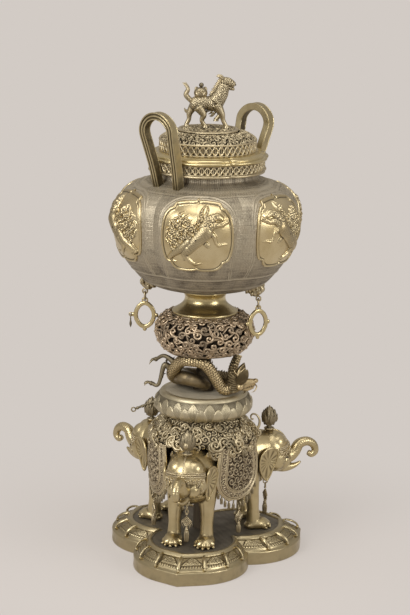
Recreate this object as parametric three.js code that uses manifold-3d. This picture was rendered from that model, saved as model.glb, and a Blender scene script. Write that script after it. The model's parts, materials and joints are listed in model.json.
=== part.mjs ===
// Bronze incense burner on three elephants: a lobed bowl with a lift-off lid, on a pierced globe,
// a dragon, a lotus cushion and a trefoil base. Millimetres, +Z up, origin at the middle of the
// underside. The front elephant faces -Y. Azimuths count from -Y towards +X.
import * as THREE from 'three';
import { mergeVertices } from 'three/addons/utils/BufferGeometryUtils.js';
import Module from 'manifold-3d';

const wasm = await Module();
wasm.setup();

// Clearances and walls
const GAP = 0.3;
const WALL = 5;
const PIERCED_WALL = 4;

// Base, a trefoil with one lobe under each elephant
const LOBES = 3;
const LOBE_STEP = 360 / LOBES;
const LOBE_SIDES = 8;
const RIM = { offset: 90.7, radius: 111.8, tip: 9 };
const RIM_HEIGHT = 26;
const BAND_FOOT = { offset: 88, radius: 103, tip: 8 };
const BAND_HEAD = { offset: 80, radius: 88, tip: 6 };
const BAND_FOOT_RISE = 5;
const BAND_RISE = 18;
const MOULDING = { offset: 79, radius: 84, tip: 5.5 };
const MOULDING_RISE = 7;
const PLATFORM = { offset: 78, radius: 80, tip: 5 };
const PLATFORM_THICK = 4.3;
const PLATFORM_SINK = 3;
const LEDGE = 7;
const BOTTOM_PLATE_THICK = 3;
const STRAPS = 7;
const STRAP_SWING = 81;
const STRAP_WIDTH = 8;
const STRAP_THICK = 4;
const STRAP_BOW = 3.5;

// Central column
const ROD_RADIUS = 6;
const STEM_RADIUS = 16;
const UPPER_STEM_RADIUS = 14;
const NUT_ACROSS = 22;
const NUT_HEIGHT = 8;
const ROD_SHOW = 2;

// Elephants: distance out from the axis, half widths and heights
const TORSO_WALL = 8;
const TORSO = { out: 60, z: 185, halfLength: 75, halfWidth: 56, halfHeight: 58 };
const LEG_SPREAD = 32;
const LEG_RADIUS = 12;
const LEG_SIDES = 7;
const LEG_OUT = 97;
const FOOT_OUT = 111;
const FOOT_HALF_WIDTH = 19;
const FOOT_HALF_LENGTH = 23;
const HEAD = { out: 143, z: 192, halfLength: 36, halfWidth: 36, halfHeight: 40 };
const DOME = { side: 15, rise: 26, radius: 20 };
const EAR = { side: 36, out: 137, z: 178, halfWidth: 5, halfLength: 20, halfHeight: 28, lean: 18 };
const TRUNK_ROOT_RADIUS = 17;
const TRUNK_RADIUS = 8.5;
const TRUNK_TIP_RADIUS = 5.5;
const TRUNK_REACH = 76;
const JAW_RADIUS = 14;
const JAW_TIP_RADIUS = 3;
const JAW_REACH = 58;
const BOSS_RADIUS = 7;
const BOSS_RISE = 8;
const HEADBAND_RADIUS = 2.2;
const HEADBAND_RISE = 22;
const HEADBAND_SWING = 58;
const JEWEL_RADIUS = 19;
const JEWEL_HEIGHT = 49;

// Saddle cloths, collar and lotus cushion
const CLOTH_TOP = 239.6;
const CLOTH_DROP = 110;
const CLOTH_HALF_WIDTH = 58;
const CLOTH_OUT = 101;
const CLOTH_BULGE = 5;
const CLOTH_THICK = 4;
const CLOTH_CURVE = 0.0034;
const COLLAR_RADIUS = 105;
const COLLAR_TOP_RADIUS = 74;
const COLLAR_HEIGHT = 46.6;
const LOTUS_RADIUS = 94;
const LOTUS_TOP_RADIUS = 74;
const LOTUS_FOOT_RADIUS = 70;
const LOTUS_HEIGHT = 46;
const HOOK_REACH = 38;
const HOOK_DROP = 16;
const HOOK_AZIMUTH = -78;

// Dragon, in the space between the cushion and the globe
const DRAGON_RADIUS = 9.5;
const DRAGON_TAIL_RADIUS = 5;
const DRAGON_RISE = 78.4;
const DRAGON_COIL = 55;
const DRAGON_TURN = 12;
const DRAGON_HEAD_LENGTH = 42;
const DRAGON_LEG_RADIUS = 5;

// Globe, foot and bowl
const GLOBE_RADIUS = 96.6;
const GLOBE_FOOT_RADIUS = 76;
const GLOBE_TOP_RADIUS = 66;
const GLOBE_HEIGHT = 75;
const GLOBE_HOLES = 6;
const GLOBE_HOLE_RADIUS = 11;
const FOOT_FLANGE_RADIUS = 63.5;
const FOOT_NECK_RADIUS = 39;
const FOOT_TOP_RADIUS = 46;
const FOOT_HEIGHT = 45.7;
const BOWL_LOBES = 6;
const BOWL_LOBE_SIDES = 4;
const TURNED_SIDES = 18;
const BOWL_TURN = 6.3;
const BOWL_RADIUS = 180;
const BOWL_FOOT_RADIUS = 46;
const BOWL_HEIGHT = 214;
const NECK_RADIUS = 96;
const NECK_HEIGHT = 40.3;
const RIB_DEPTH = 0.09;
const PANEL_HALF_ANGLE = 23;
const PANEL_SHARE = 0.62;
const PANEL_MIDDLE = 0.622;
const PANEL_LIFT = 4;
const GALLERY_RADIUS = 114.5;
const GALLERY_RISE = 17;
const GALLERY_RING = 6;

// Handles, masks and rings
const LEFT_HANDLE = { place: 'left', az: -34, height: 140 };
const RIGHT_HANDLE = { place: 'right', az: 146.4, height: 131 };
const HANDLE_OUT = 108;
const HANDLE_SINK = 20;
const HANDLE_LEAN = 38;
const HANDLE_FOOT_SPREAD = 23;
const HANDLE_TOP_SPREAD = 35;
const HANDLE_WIDTH = 14;
const HANDLE_DEPTH = 17;
const LEFT_MASK = { place: 'left', az: -90, beyondGlobe: 20.4, drop: 40, twist: 0 };
const RIGHT_MASK = { place: 'right', az: 72, beyondGlobe: 14.4, drop: 38, twist: 54 };
const MASK_RADIUS = 13;
const WIRE = 2;
const EYE_RADIUS = 5;
const LINK_LENGTH = 18;
const LINK_HALF_WIDTH = 6;
const LINK_WIRE = 1.8;
const LINK_SLACK = 0.8;
const RING_HALF_WIDTH = 17.5;
const RING_HALF_HEIGHT = 23;
const RING_WIRE = 4;
const DROP_LENGTH = 26;
const DROP_EYE_RADIUS = 3.2;
const DROP_WIRE = 1;

// Lid and finial
const LID_RADIUS = 118;
const LID_FLANGE_HEIGHT = 15;
const LID_SPIGOT = 8;
const LID_BAND_RADIUS = 92;
const LID_BAND_HEIGHT = 19;
const LID_DOME_HEIGHT = 17.5;
const LID_WINDOWS = 9;
const DOME_WINDOWS = 6;
const CAP_RADIUS = 59;
const CAP_THICK = 4;
const BEAST_TURN = 12;
const BEAST_LENGTH = 96;
const BEAST_HEIGHT = 98;
const BEAST_BACK = 12;
const PEG_RADIUS = 2.5;
const FINIAL_NUT_ACROSS = 9;
const FINIAL_NUT_HEIGHT = 4;

// Small hanging pieces
const LOOP_RADIUS = 4.5;
const LOOP_WIRE = 1.2;
const PENDANT_DROP = 74;
const CLOTH_PENDANT_DROP = 64;
const PLAQUE_HALF = 11;
const TASSEL_RADIUS = 4.5;
const FRINGE_DROP = 22;
const FRINGE_RADIUS = 3;
const FRINGE_PLACES = [0.78, 0.45];

// Heights worked out from the stack
const BAND_HEAD_Z = RIM_HEIGHT + BAND_RISE;
const MOULDING_Z = BAND_HEAD_Z + MOULDING_RISE;
const PLATFORM_TOP = MOULDING_Z - PLATFORM_SINK;
const PLATFORM_BOTTOM = PLATFORM_TOP - PLATFORM_THICK;
const FLOOR_Z = PLATFORM_TOP + GAP;
const COLLAR_BOTTOM = CLOTH_TOP + GAP;
const COLLAR_TOP = COLLAR_BOTTOM + COLLAR_HEIGHT;
const LOTUS_BOTTOM = COLLAR_TOP + GAP;
const LOTUS_TOP = LOTUS_BOTTOM + LOTUS_HEIGHT;
const GLOBE_BOTTOM = LOTUS_TOP + DRAGON_RISE + 2 * GAP;
const GLOBE_TOP = GLOBE_BOTTOM + GLOBE_HEIGHT;
const FOOT_BOTTOM = GLOBE_TOP + GAP;
const FOOT_TOP = FOOT_BOTTOM + FOOT_HEIGHT;
const BOWL_BOTTOM = FOOT_TOP + GAP;
const SHOULDER_Z = BOWL_BOTTOM + BOWL_HEIGHT;
const MOUTH_Z = SHOULDER_Z + NECK_HEIGHT;
const LID_BOTTOM = MOUTH_Z + GAP;
const LID_BAND_Z = LID_BOTTOM + LID_FLANGE_HEIGHT + GAP;
const LID_DOME_Z = LID_BAND_Z + LID_BAND_HEIGHT;
const CAP_BOTTOM = LID_DOME_Z + LID_DOME_HEIGHT + GAP;
const CAP_TOP = CAP_BOTTOM + CAP_THICK;

const incenseBurner = new THREE.Group();

// Finishes
const metal = (color, roughness) => new THREE.MeshStandardMaterial({ color, roughness, metalness: 1 });
const polished = metal(0xb39a4e, 0.25);
const cast = metal(0x8f7a45, 0.45);
const patina = metal(0x6e6454, 0.6);
const gilt = metal(0xb0925a, 0.4);

// Helpers
const rad = THREE.MathUtils.degToRad;
const lerp = THREE.MathUtils.lerp;
const range = (count) => Array.from({ length: count }, (_, i) => i);
const vec = (x, y, z) => new THREE.Vector3(x, y, z);

// A point at radius r and azimuth az, in degrees
const polar = (r, az, z) => vec(r * Math.sin(rad(az)), -r * Math.cos(rad(az)), z);

// A point in a frame whose outward direction is -Y
const outward = (out, side, z) => vec(side, -out, z);

// Closed body through rings of equal count; a looped loft joins its last ring to its first
function loft(rings, looped = false) {
  const sides = rings[0].length;
  const position = rings.flat().flatMap((p) => [p.x, p.y, p.z]);
  const index = [];
  const spans = looped ? rings.length : rings.length - 1;
  for (const i of range(spans)) {
    const next = (i + 1) % rings.length;
    for (const j of range(sides)) {
      const k = (j + 1) % sides;
      index.push(i * sides + j, i * sides + k, next * sides + k);
      index.push(i * sides + j, next * sides + k, next * sides + j);
    }
  }
  if (!looped) {
    for (const end of [0, rings.length - 1]) {
      const middle = rings[end].reduce((sum, p) => sum.add(p), vec(0, 0, 0)).divideScalar(sides);
      const centre = position.length / 3;
      position.push(middle.x, middle.y, middle.z);
      for (const j of range(sides)) {
        const edge = [end * sides + j, end * sides + ((j + 1) % sides)];
        if (end === 0) edge.reverse();
        index.push(...edge, centre);
      }
    }
  }
  return facingOut(position, index);
}

// Geometry with its triangles turned so that the volume is positive
function facingOut(position, index) {
  const at = (i) => vec(...position.slice(3 * i, 3 * i + 3));
  let volume = 0;
  for (let i = 0; i < index.length; i += 3) {
    volume += at(index[i]).dot(at(index[i + 1]).cross(at(index[i + 2])));
  }
  if (volume < 0) index.reverse();
  const geometry = new THREE.BufferGeometry();
  geometry.setAttribute('position', new THREE.Float32BufferAttribute(position, 3));
  geometry.setIndex(index);
  return geometry;
}

// Closed slab between an outer and an inner grid of points, rows by columns
function slab(outer, inner) {
  const rows = outer.length;
  const columns = outer[0].length;
  const position = [...outer.flat(), ...inner.flat()].flatMap((p) => [p.x, p.y, p.z]);
  const at = (side, i, j) => side * rows * columns + i * columns + j;
  const index = [];
  for (const i of range(rows - 1)) {
    for (const j of range(columns - 1)) {
      index.push(at(0, i, j), at(0, i, j + 1), at(0, i + 1, j + 1));
      index.push(at(0, i, j), at(0, i + 1, j + 1), at(0, i + 1, j));
      index.push(at(1, i, j), at(1, i + 1, j + 1), at(1, i, j + 1));
      index.push(at(1, i, j), at(1, i + 1, j), at(1, i + 1, j + 1));
    }
  }
  const edge = [
    ...range(columns - 1).map((j) => [0, j]),
    ...range(rows - 1).map((i) => [i, columns - 1]),
    ...range(columns - 1).map((j) => [rows - 1, columns - 1 - j]),
    ...range(rows - 1).map((i) => [rows - 1 - i, 0]),
  ];
  edge.forEach(([i, j], n) => {
    const [p, q] = edge[(n + 1) % edge.length];
    index.push(at(0, i, j), at(1, p, q), at(0, p, q));
    index.push(at(0, i, j), at(1, i, j), at(1, p, q));
  });
  return facingOut(position, index);
}

// Tapered round bar through points; radii are spread evenly along it
function bar(points, radii, { sides = 8, steps = 12, closed = false } = {}) {
  const curve = new THREE.CatmullRomCurve3(points, closed);
  const frames = curve.computeFrenetFrames(steps, closed);
  const rings = range(closed ? steps : steps + 1).map((i) => {
    const t = i / steps;
    const span = t * (radii.length - 1);
    const low = Math.min(Math.floor(span), Math.max(radii.length - 2, 0));
    const radius = radii.length === 1 ? radii[0] : lerp(radii[low], radii[low + 1], span - low);
    const centre = curve.getPointAt(t);
    return range(sides).map((j) => {
      const a = (2 * Math.PI * j) / sides;
      return centre.clone()
        .addScaledVector(frames.normals[i], radius * Math.cos(a))
        .addScaledVector(frames.binormals[i], radius * Math.sin(a));
    });
  });
  return loft(rings, closed);
}

// Body of revolution round Z from [radius, z] pairs; a profile off the axis closes on itself
function turned(profile, sides) {
  const points = profile.map(([r, z]) => new THREE.Vector2(r, z));
  if (profile[0][0] > 0) points.push(points[0].clone());
  return new THREE.LatheGeometry(points, sides).rotateX(Math.PI / 2);
}

function ellipsoid(centre, half, sides = 16, rows = 10) {
  return new THREE.SphereGeometry(1, sides, rows)
    .rotateX(Math.PI / 2)
    .scale(half.x, half.y, half.z)
    .translate(centre.x, centre.y, centre.z);
}

function eye(centre, radius, wire, { sides = 4, steps = 7, axis = 'y' } = {}) {
  const ring = new THREE.TorusGeometry(radius, wire, sides, steps);
  if (axis === 'y') ring.rotateX(Math.PI / 2);
  if (axis === 'x') ring.rotateY(Math.PI / 2);
  return ring.translate(centre.x, centre.y, centre.z);
}

// Closed geometry as a solid that can be joined and cut
function solid(source) {
  if (!(source instanceof THREE.BufferGeometry)) return source;
  const bare = source.clone();
  bare.deleteAttribute('normal');
  bare.deleteAttribute('uv');
  const merged = mergeVertices(bare, 1e-3);
  const index = facingOut([...merged.attributes.position.array], [...merged.index.array]).index.array;
  return new wasm.Manifold(new wasm.Mesh({
    numProp: 3,
    vertProperties: new Float32Array(merged.attributes.position.array),
    triVerts: new Uint32Array(index),
  }));
}

const join = (...parts) => parts.map(solid).reduce((a, b) => a.add(b));
const cut = (body, ...tools) => tools.map(solid).reduce((a, b) => a.subtract(b), solid(body));

function toGeometry(source) {
  const mesh = solid(source).getMesh();
  const geometry = new THREE.BufferGeometry();
  geometry.setAttribute('position', new THREE.BufferAttribute(mesh.vertProperties, 3));
  geometry.setIndex(new THREE.BufferAttribute(mesh.triVerts, 1));
  geometry.computeVertexNormals();
  return geometry;
}

function addPiece(name, source, material, parent = incenseBurner) {
  const mesh = new THREE.Mesh(toGeometry(source), material);
  mesh.name = name;
  parent.add(mesh);
  return mesh;
}

function turnedGroup(az, x = 0, y = 0) {
  const group = new THREE.Group();
  group.rotation.z = rad(az);
  group.position.set(x, y, 0);
  incenseBurner.add(group);
  return group;
}

// Trefoil outline at one height, grown by a margin
function trefoil({ offset, radius, tip }, z, grow = 0) {
  const r = radius + grow;
  return range(LOBES * LOBE_SIDES).map((i) => {
    const swing = ((i % LOBE_SIDES) / LOBE_SIDES - 0.5) * LOBE_STEP;
    const az = Math.floor(i / LOBE_SIDES) * LOBE_STEP + swing;
    const a = rad(swing);
    const reach = offset * Math.cos(a) + Math.sqrt(r ** 2 - (offset * Math.sin(a)) ** 2);
    const point = tip * Math.max(0, 1 - Math.abs(swing) / 12) ** 2;
    return polar(reach + point, az, z);
  });
}

const circle = (r, z, sides) => range(sides).map((i) => polar(r, -LOBE_STEP / 2 + (360 * i) / sides, z));

const hole = (sides = 12) => turned([[0, -1], [ROD_RADIUS + GAP, -1],
  [ROD_RADIUS + GAP, SHOULDER_Z], [0, SHOULDER_Z]], sides);

// Base
function buildBase() {
  const ledge = { ...PLATFORM, radius: PLATFORM.radius - LEDGE };
  const inside = { ...RIM, radius: RIM.radius - WALL };
  const innerFoot = { ...BAND_FOOT, radius: BAND_FOOT.radius - WALL };
  const rim = loft([
    trefoil(RIM, 0),
    trefoil(RIM, RIM_HEIGHT),
    trefoil(BAND_FOOT, RIM_HEIGHT + BAND_FOOT_RISE),
    trefoil(BAND_HEAD, BAND_HEAD_Z),
    trefoil(MOULDING, MOULDING_Z),
    trefoil(PLATFORM, MOULDING_Z),
    trefoil(PLATFORM, PLATFORM_BOTTOM - GAP),
    trefoil(ledge, PLATFORM_BOTTOM - GAP),
    trefoil(ledge, PLATFORM_BOTTOM - GAP - WALL),
    trefoil(innerFoot, RIM_HEIGHT + BAND_FOOT_RISE - WALL),
    trefoil(inside, RIM_HEIGHT - WALL),
    trefoil(inside, 0),
  ], true);
  addPiece('base_bottom_plate', loft([
    trefoil(inside, 0, -GAP),
    trefoil(inside, BOTTOM_PLATE_THICK, -GAP),
  ]), cast);
  const sides = LOBES * LOBE_SIDES;
  addPiece('base_platform', loft([
    trefoil(PLATFORM, PLATFORM_BOTTOM, -GAP),
    trefoil(PLATFORM, PLATFORM_TOP, -GAP),
    circle(ROD_RADIUS + GAP, PLATFORM_TOP, sides),
    circle(ROD_RADIUS + GAP, PLATFORM_BOTTOM, sides),
  ], true), patina);
  const straps = range(LOBES).flatMap((lobe) => range(STRAPS).map((i) => {
    const swing = lerp(-STRAP_SWING, STRAP_SWING, i / (STRAPS - 1));
    return buildStrap(swing).rotateZ(rad(lobe * LOBE_STEP));
  }));
  addPiece('base_rim', join(rim, ...straps), polished);
}

// One bowed strap across the sloping band, at a swing round its lobe's own centre
function buildStrap(swing) {
  const steps = 2;
  const foot = RIM_HEIGHT + BAND_FOOT_RISE;
  const slope = new THREE.Vector2(BAND_FOOT.radius - BAND_HEAD.radius, BAND_HEAD_Z - foot);
  const lift = new THREE.Vector2(slope.y, slope.x).normalize();
  const rings = range(steps + 1).map((i) => {
    const t = i / steps;
    const bow = STRAP_BOW * Math.sin(Math.PI * t);
    const offset = lerp(BAND_FOOT.offset, BAND_HEAD.offset, t);
    const radius = lerp(BAND_FOOT.radius, BAND_HEAD.radius, t);
    const z = lerp(foot, BAND_HEAD_Z, t);
    const tip = lerp(BAND_FOOT.tip, BAND_HEAD.tip, t) * Math.max(0, 1 - Math.abs(swing) / 20);
    return [[-1, 0], [1, 0], [0, 1]].map(([side, top]) => {
      const rise = bow + top * STRAP_THICK - 1;
      const centre = polar(radius + tip + rise * lift.x, swing, z + rise * lift.y);
      const across = polar((side * STRAP_WIDTH) / 2, swing + 90, 0);
      return centre.add(across).add(vec(0, -offset, 0));
    });
  });
  return loft(rings);
}

// Central column
function buildColumn() {
  const nutTop = BOWL_BOTTOM + WALL + GAP + NUT_HEIGHT;
  const nutBottom = PLATFORM_BOTTOM - GAP - NUT_HEIGHT;
  const tube = (r, low, high) => cut(turned([[0, low], [r, low], [r, high], [0, high]], 16), hole());
  addPiece('tie_rod', turned([[0, nutBottom - ROD_SHOW], [ROD_RADIUS, nutBottom - ROD_SHOW],
    [ROD_RADIUS, nutTop + ROD_SHOW], [0, nutTop + ROD_SHOW]], 12), cast);
  const nut = (low) => cut(turned([[0, low], [NUT_ACROSS / 2, low],
    [NUT_ACROSS / 2, low + NUT_HEIGHT], [0, low + NUT_HEIGHT]], 6), hole());
  addPiece('tie_rod_nut_lower', nut(nutBottom), cast);
  addPiece('tie_rod_nut_upper', nut(BOWL_BOTTOM + WALL + GAP), cast);
  addPiece('stem_tube_lower', tube(STEM_RADIUS, FLOOR_Z, LOTUS_TOP - WALL - GAP), patina);
  addPiece('stem_tube_upper', tube(UPPER_STEM_RADIUS, LOTUS_TOP + GAP, GLOBE_BOTTOM - GAP), patina);
}

// Elephants
function torsoSolid(grow, sides = 12, rows = 7) {
  return ellipsoid(outward(TORSO.out, 0, TORSO.z), vec(TORSO.halfWidth + grow,
    TORSO.halfLength + grow, TORSO.halfHeight + grow), sides, rows);
}

function legSolid(side) {
  const rows = [
    [0, FOOT_OUT, FOOT_HALF_WIDTH, FOOT_HALF_LENGTH],
    [0.07, FOOT_OUT, FOOT_HALF_WIDTH, FOOT_HALF_LENGTH],
    [0.16, lerp(FOOT_OUT, LEG_OUT, 0.55), 1.25 * LEG_RADIUS, 1.33 * LEG_RADIUS],
    [0.3, LEG_OUT, LEG_RADIUS, LEG_RADIUS],
    [0.55, LEG_OUT, LEG_RADIUS, LEG_RADIUS],
    [1, 0.95 * LEG_OUT, 1.67 * LEG_RADIUS, 1.83 * LEG_RADIUS],
  ];
  const top = TORSO.z - 0.4 * TORSO.halfHeight;
  return loft(rows.map(([up, out, width, length]) => range(LEG_SIDES).map((i) => {
    const a = (2 * Math.PI * i) / LEG_SIDES;
    return outward(out + length * Math.cos(a), side * LEG_SPREAD + width * Math.sin(a), lerp(FLOOR_Z, top, up));
  })));
}

function sectorSolid() {
  const reach = 2 * (TORSO.out + TORSO.halfLength);
  const start = GAP / 2 / Math.sin(rad(LOBE_STEP / 2));
  const corner = (az) => polar(reach, az, 0);
  const shape = new THREE.Shape([
    new THREE.Vector2(0, -start),
    new THREE.Vector2(corner(-LOBE_STEP / 2).x, corner(-LOBE_STEP / 2).y - start),
    new THREE.Vector2(corner(LOBE_STEP / 2).x, corner(LOBE_STEP / 2).y - start),
  ]);
  return new THREE.ExtrudeGeometry(shape, { depth: LOTUS_TOP, bevelEnabled: false });
}

function trunkSolid() {
  const root = outward(HEAD.out + 0.5 * HEAD.halfLength, 0, HEAD.z - 4);
  const path = [[0, 0], [0.22, -0.08], [0.41, 0.01], [0.54, 0.21], [0.75, 0.26], [0.93, 0.17], [1, 0],
    [0.91, -0.105], [0.8, -0.04]];
  const points = path.map(([out, rise]) => root.clone().add(outward(out * TRUNK_REACH, 0, rise * TRUNK_REACH)));
  const radii = [TRUNK_ROOT_RADIUS, TRUNK_ROOT_RADIUS - 3, TRUNK_RADIUS + 2.5, TRUNK_RADIUS + 1,
    TRUNK_RADIUS, TRUNK_RADIUS - 1, TRUNK_RADIUS - 1.5, TRUNK_TIP_RADIUS + 1, TRUNK_TIP_RADIUS];
  return bar(points, radii, { sides: 6, steps: 12 });
}

function jawSolid() {
  const root = outward(HEAD.out + 7, 0, HEAD.z - 27);
  const points = [[0, 0], [0.43, -0.12], [0.78, -0.09], [1, 0.03]]
    .map(([out, rise]) => root.clone().add(outward(out * JAW_REACH, 0, rise * JAW_REACH)));
  return bar(points, [JAW_RADIUS, JAW_RADIUS - 3, JAW_TIP_RADIUS + 4, JAW_TIP_RADIUS], { sides: 5, steps: 4 });
}

// Hanger under the neck, and the height of the axis that its pendant swings about
const HANGER_OUT = HEAD.out - 10;
const HANGER_Z = HEAD.z - HEAD.halfHeight - 11;
const HINGE_SLACK = 0.2;

function buildElephant(place, lobe) {
  const group = turnedGroup(lobe * LOBE_STEP);
  const stem = turned([[0, 0], [STEM_RADIUS + 2 * GAP, 0], [STEM_RADIUS + 2 * GAP, LOTUS_TOP], [0, LOTUS_TOP]], 12);
  const whole = join(torsoSolid(0), legSolid(1), legSolid(-1)).intersect(solid(sectorSolid()));
  const hollow = torsoSolid(-TORSO_WALL, 8, 5).translate(0, 1.5 * TORSO_WALL, 0);
  const body = cut(whole, hollow, stem);
  addPiece(`elephant_${place}_body`, body, polished, group);

  const dome = (side) => ellipsoid(outward(HEAD.out - 3, side * DOME.side, HEAD.z + DOME.rise),
    vec(DOME.radius, DOME.radius, DOME.radius), 8, 5);
  const ear = (side) => ellipsoid(vec(0, 0, 0), vec(EAR.halfWidth, EAR.halfLength, EAR.halfHeight), 6, 4)
    .rotateY(rad(side * EAR.lean))
    .translate(side * EAR.side, -EAR.out, EAR.z);
  const bossTop = HEAD.z + HEAD.halfHeight + BOSS_RISE;
  const boss = turned([[0, HEAD.z], [BOSS_RADIUS, HEAD.z], [BOSS_RADIUS, bossTop], [0, bossTop]], 6)
    .translate(0, -(HEAD.out - 5), 0);
  const neck = new THREE.BoxGeometry(2 * LOOP_WIRE, 2 * LOOP_WIRE, 16)
    .translate(0, -HANGER_OUT, HANGER_Z + EYE_RADIUS + 6);
  const headSolid = join(
    ellipsoid(outward(HEAD.out, 0, HEAD.z), vec(HEAD.halfWidth, HEAD.halfLength, HEAD.halfHeight), 10, 7),
    dome(-1), dome(1), ear(-1), ear(1), boss, trunkSolid(), jawSolid(), neck,
    eye(outward(HANGER_OUT, 0, HANGER_Z), LOOP_RADIUS, LOOP_WIRE, { axis: 'x' }),
  );
  addPiece(`elephant_${place}_head`, cut(headSolid, torsoSolid(GAP)), polished, group);

  const shrink = Math.sqrt(1 - (HEADBAND_RISE / HEAD.halfHeight) ** 2);
  const spread = shrink * HEAD.halfWidth + 2 * GAP + HEADBAND_RADIUS;
  const headband = bar(range(5).map((i) => {
    const a = rad(lerp(-HEADBAND_SWING, HEADBAND_SWING, i / 4));
    return outward(HEAD.out + spread * Math.cos(a), spread * Math.sin(a), HEAD.z + HEADBAND_RISE);
  }), [HEADBAND_RADIUS], { sides: 5, steps: 6 });
  addPiece(`headband_${place}`, headband, gilt, group);

  const base = bossTop + GAP;
  const jewel = turned([[0, 0], [0.3, 0], [0.3, 0.06], [0.55, 0.14], [0.95, 0.35], [1, 0.52], [0.8, 0.72],
    [0, 1]].map(([r, h]) => [r * JEWEL_RADIUS, base + h * JEWEL_HEIGHT]), 8)
    .translate(0, -(HEAD.out - 5), 0);
  addPiece(`jewel_finial_${place}`, jewel, gilt, group);
  buildPendant(`breast_pendant_${place}`, HANGER_OUT, HANGER_Z, PENDANT_DROP, group);
}

// Pendant on a loop through a fixed eye: loop, wire, diamond plaque and tassel
function buildPendant(name, out, eyeZ, drop, group) {
  const axisZ = eyeZ - HINGE_SLACK;
  const low = axisZ - drop;
  const loopLow = axisZ - 2 * LOOP_RADIUS;
  const plaqueZ = lerp(loopLow, low, 0.35);
  const wire = turned([[0, low + 4], [LOOP_WIRE, low + 4], [LOOP_WIRE, loopLow], [0, loopLow]], 4);
  const plaque = new THREE.BoxGeometry(PLAQUE_HALF * Math.SQRT2, 3, PLAQUE_HALF * Math.SQRT2)
    .rotateY(Math.PI / 4)
    .translate(0, 0, plaqueZ);
  const tasselTop = lerp(plaqueZ, low, 0.45);
  const tassel = turned([[0, low], [TASSEL_RADIUS, low], [TASSEL_RADIUS * 0.6, tasselTop - 4],
    [0, tasselTop]], 6);
  const hanging = join(wire, plaque, tassel).translate([0, -out, 0]);
  const loop = eye(outward(out, 0, axisZ - LOOP_RADIUS), LOOP_RADIUS, LOOP_WIRE);
  addPiece(name, join(hanging, loop), gilt, group);
}

// Saddle cloth between two elephants, with its pendant and fringe
const CLOTH_TIP_Z = CLOTH_TOP - CLOTH_DROP;

function clothPoint(down, side, lift) {
  const width = CLOTH_HALF_WIDTH * (down < 0.55
    ? lerp(0.86, 1, Math.sin((Math.PI * down) / 1.1))
    : Math.sqrt(Math.max(0.01, 1 - ((down - 0.55) / 0.46) ** 2)));
  const across = side * width;
  const out = CLOTH_OUT + CLOTH_BULGE * Math.sin(Math.PI * down) - 3 * down - CLOTH_CURVE * across ** 2;
  return outward(out + lift, across, CLOTH_TOP - down * CLOTH_DROP);
}

function buildCloth(place, lobe) {
  const group = turnedGroup((lobe + 0.5) * LOBE_STEP);
  const rows = [0, 0.3, 0.6, 0.85, 1];
  const columns = range(5).map((j) => j / 2 - 1);
  const grid = (lift) => rows.map((down) => columns.map((side) => clothPoint(down, side, lift)));
  const sheet = slab(grid(CLOTH_THICK / 2), grid(-CLOTH_THICK / 2));
  const tipOut = CLOTH_OUT - 3;
  const tipEyeZ = CLOTH_TIP_Z - LOOP_RADIUS;
  const tipEye = eye(outward(tipOut, 0, tipEyeZ), LOOP_RADIUS, LOOP_WIRE, { axis: 'x' });
  const tassels = [-1, 1].flatMap((side) => FRINGE_PLACES.map((share) => {
    const across = side * share * CLOTH_HALF_WIDTH;
    const hem = clothPoint(0.55 + 0.46 * Math.sqrt(1 - share ** 2), side, 0);
    return turned([[0, hem.z - FRINGE_DROP], [FRINGE_RADIUS, hem.z - FRINGE_DROP], [0.4 * FRINGE_RADIUS, hem.z + 3],
      [0, hem.z + 3]], 5).translate(across, hem.y, 0);
  }));
  addPiece(`saddle_cloth_${place}`, join(sheet, tipEye, ...tassels), cast, group);
  buildPendant(`cloth_pendant_${place}`, tipOut, tipEyeZ, CLOTH_PENDANT_DROP, group);
}

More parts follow.
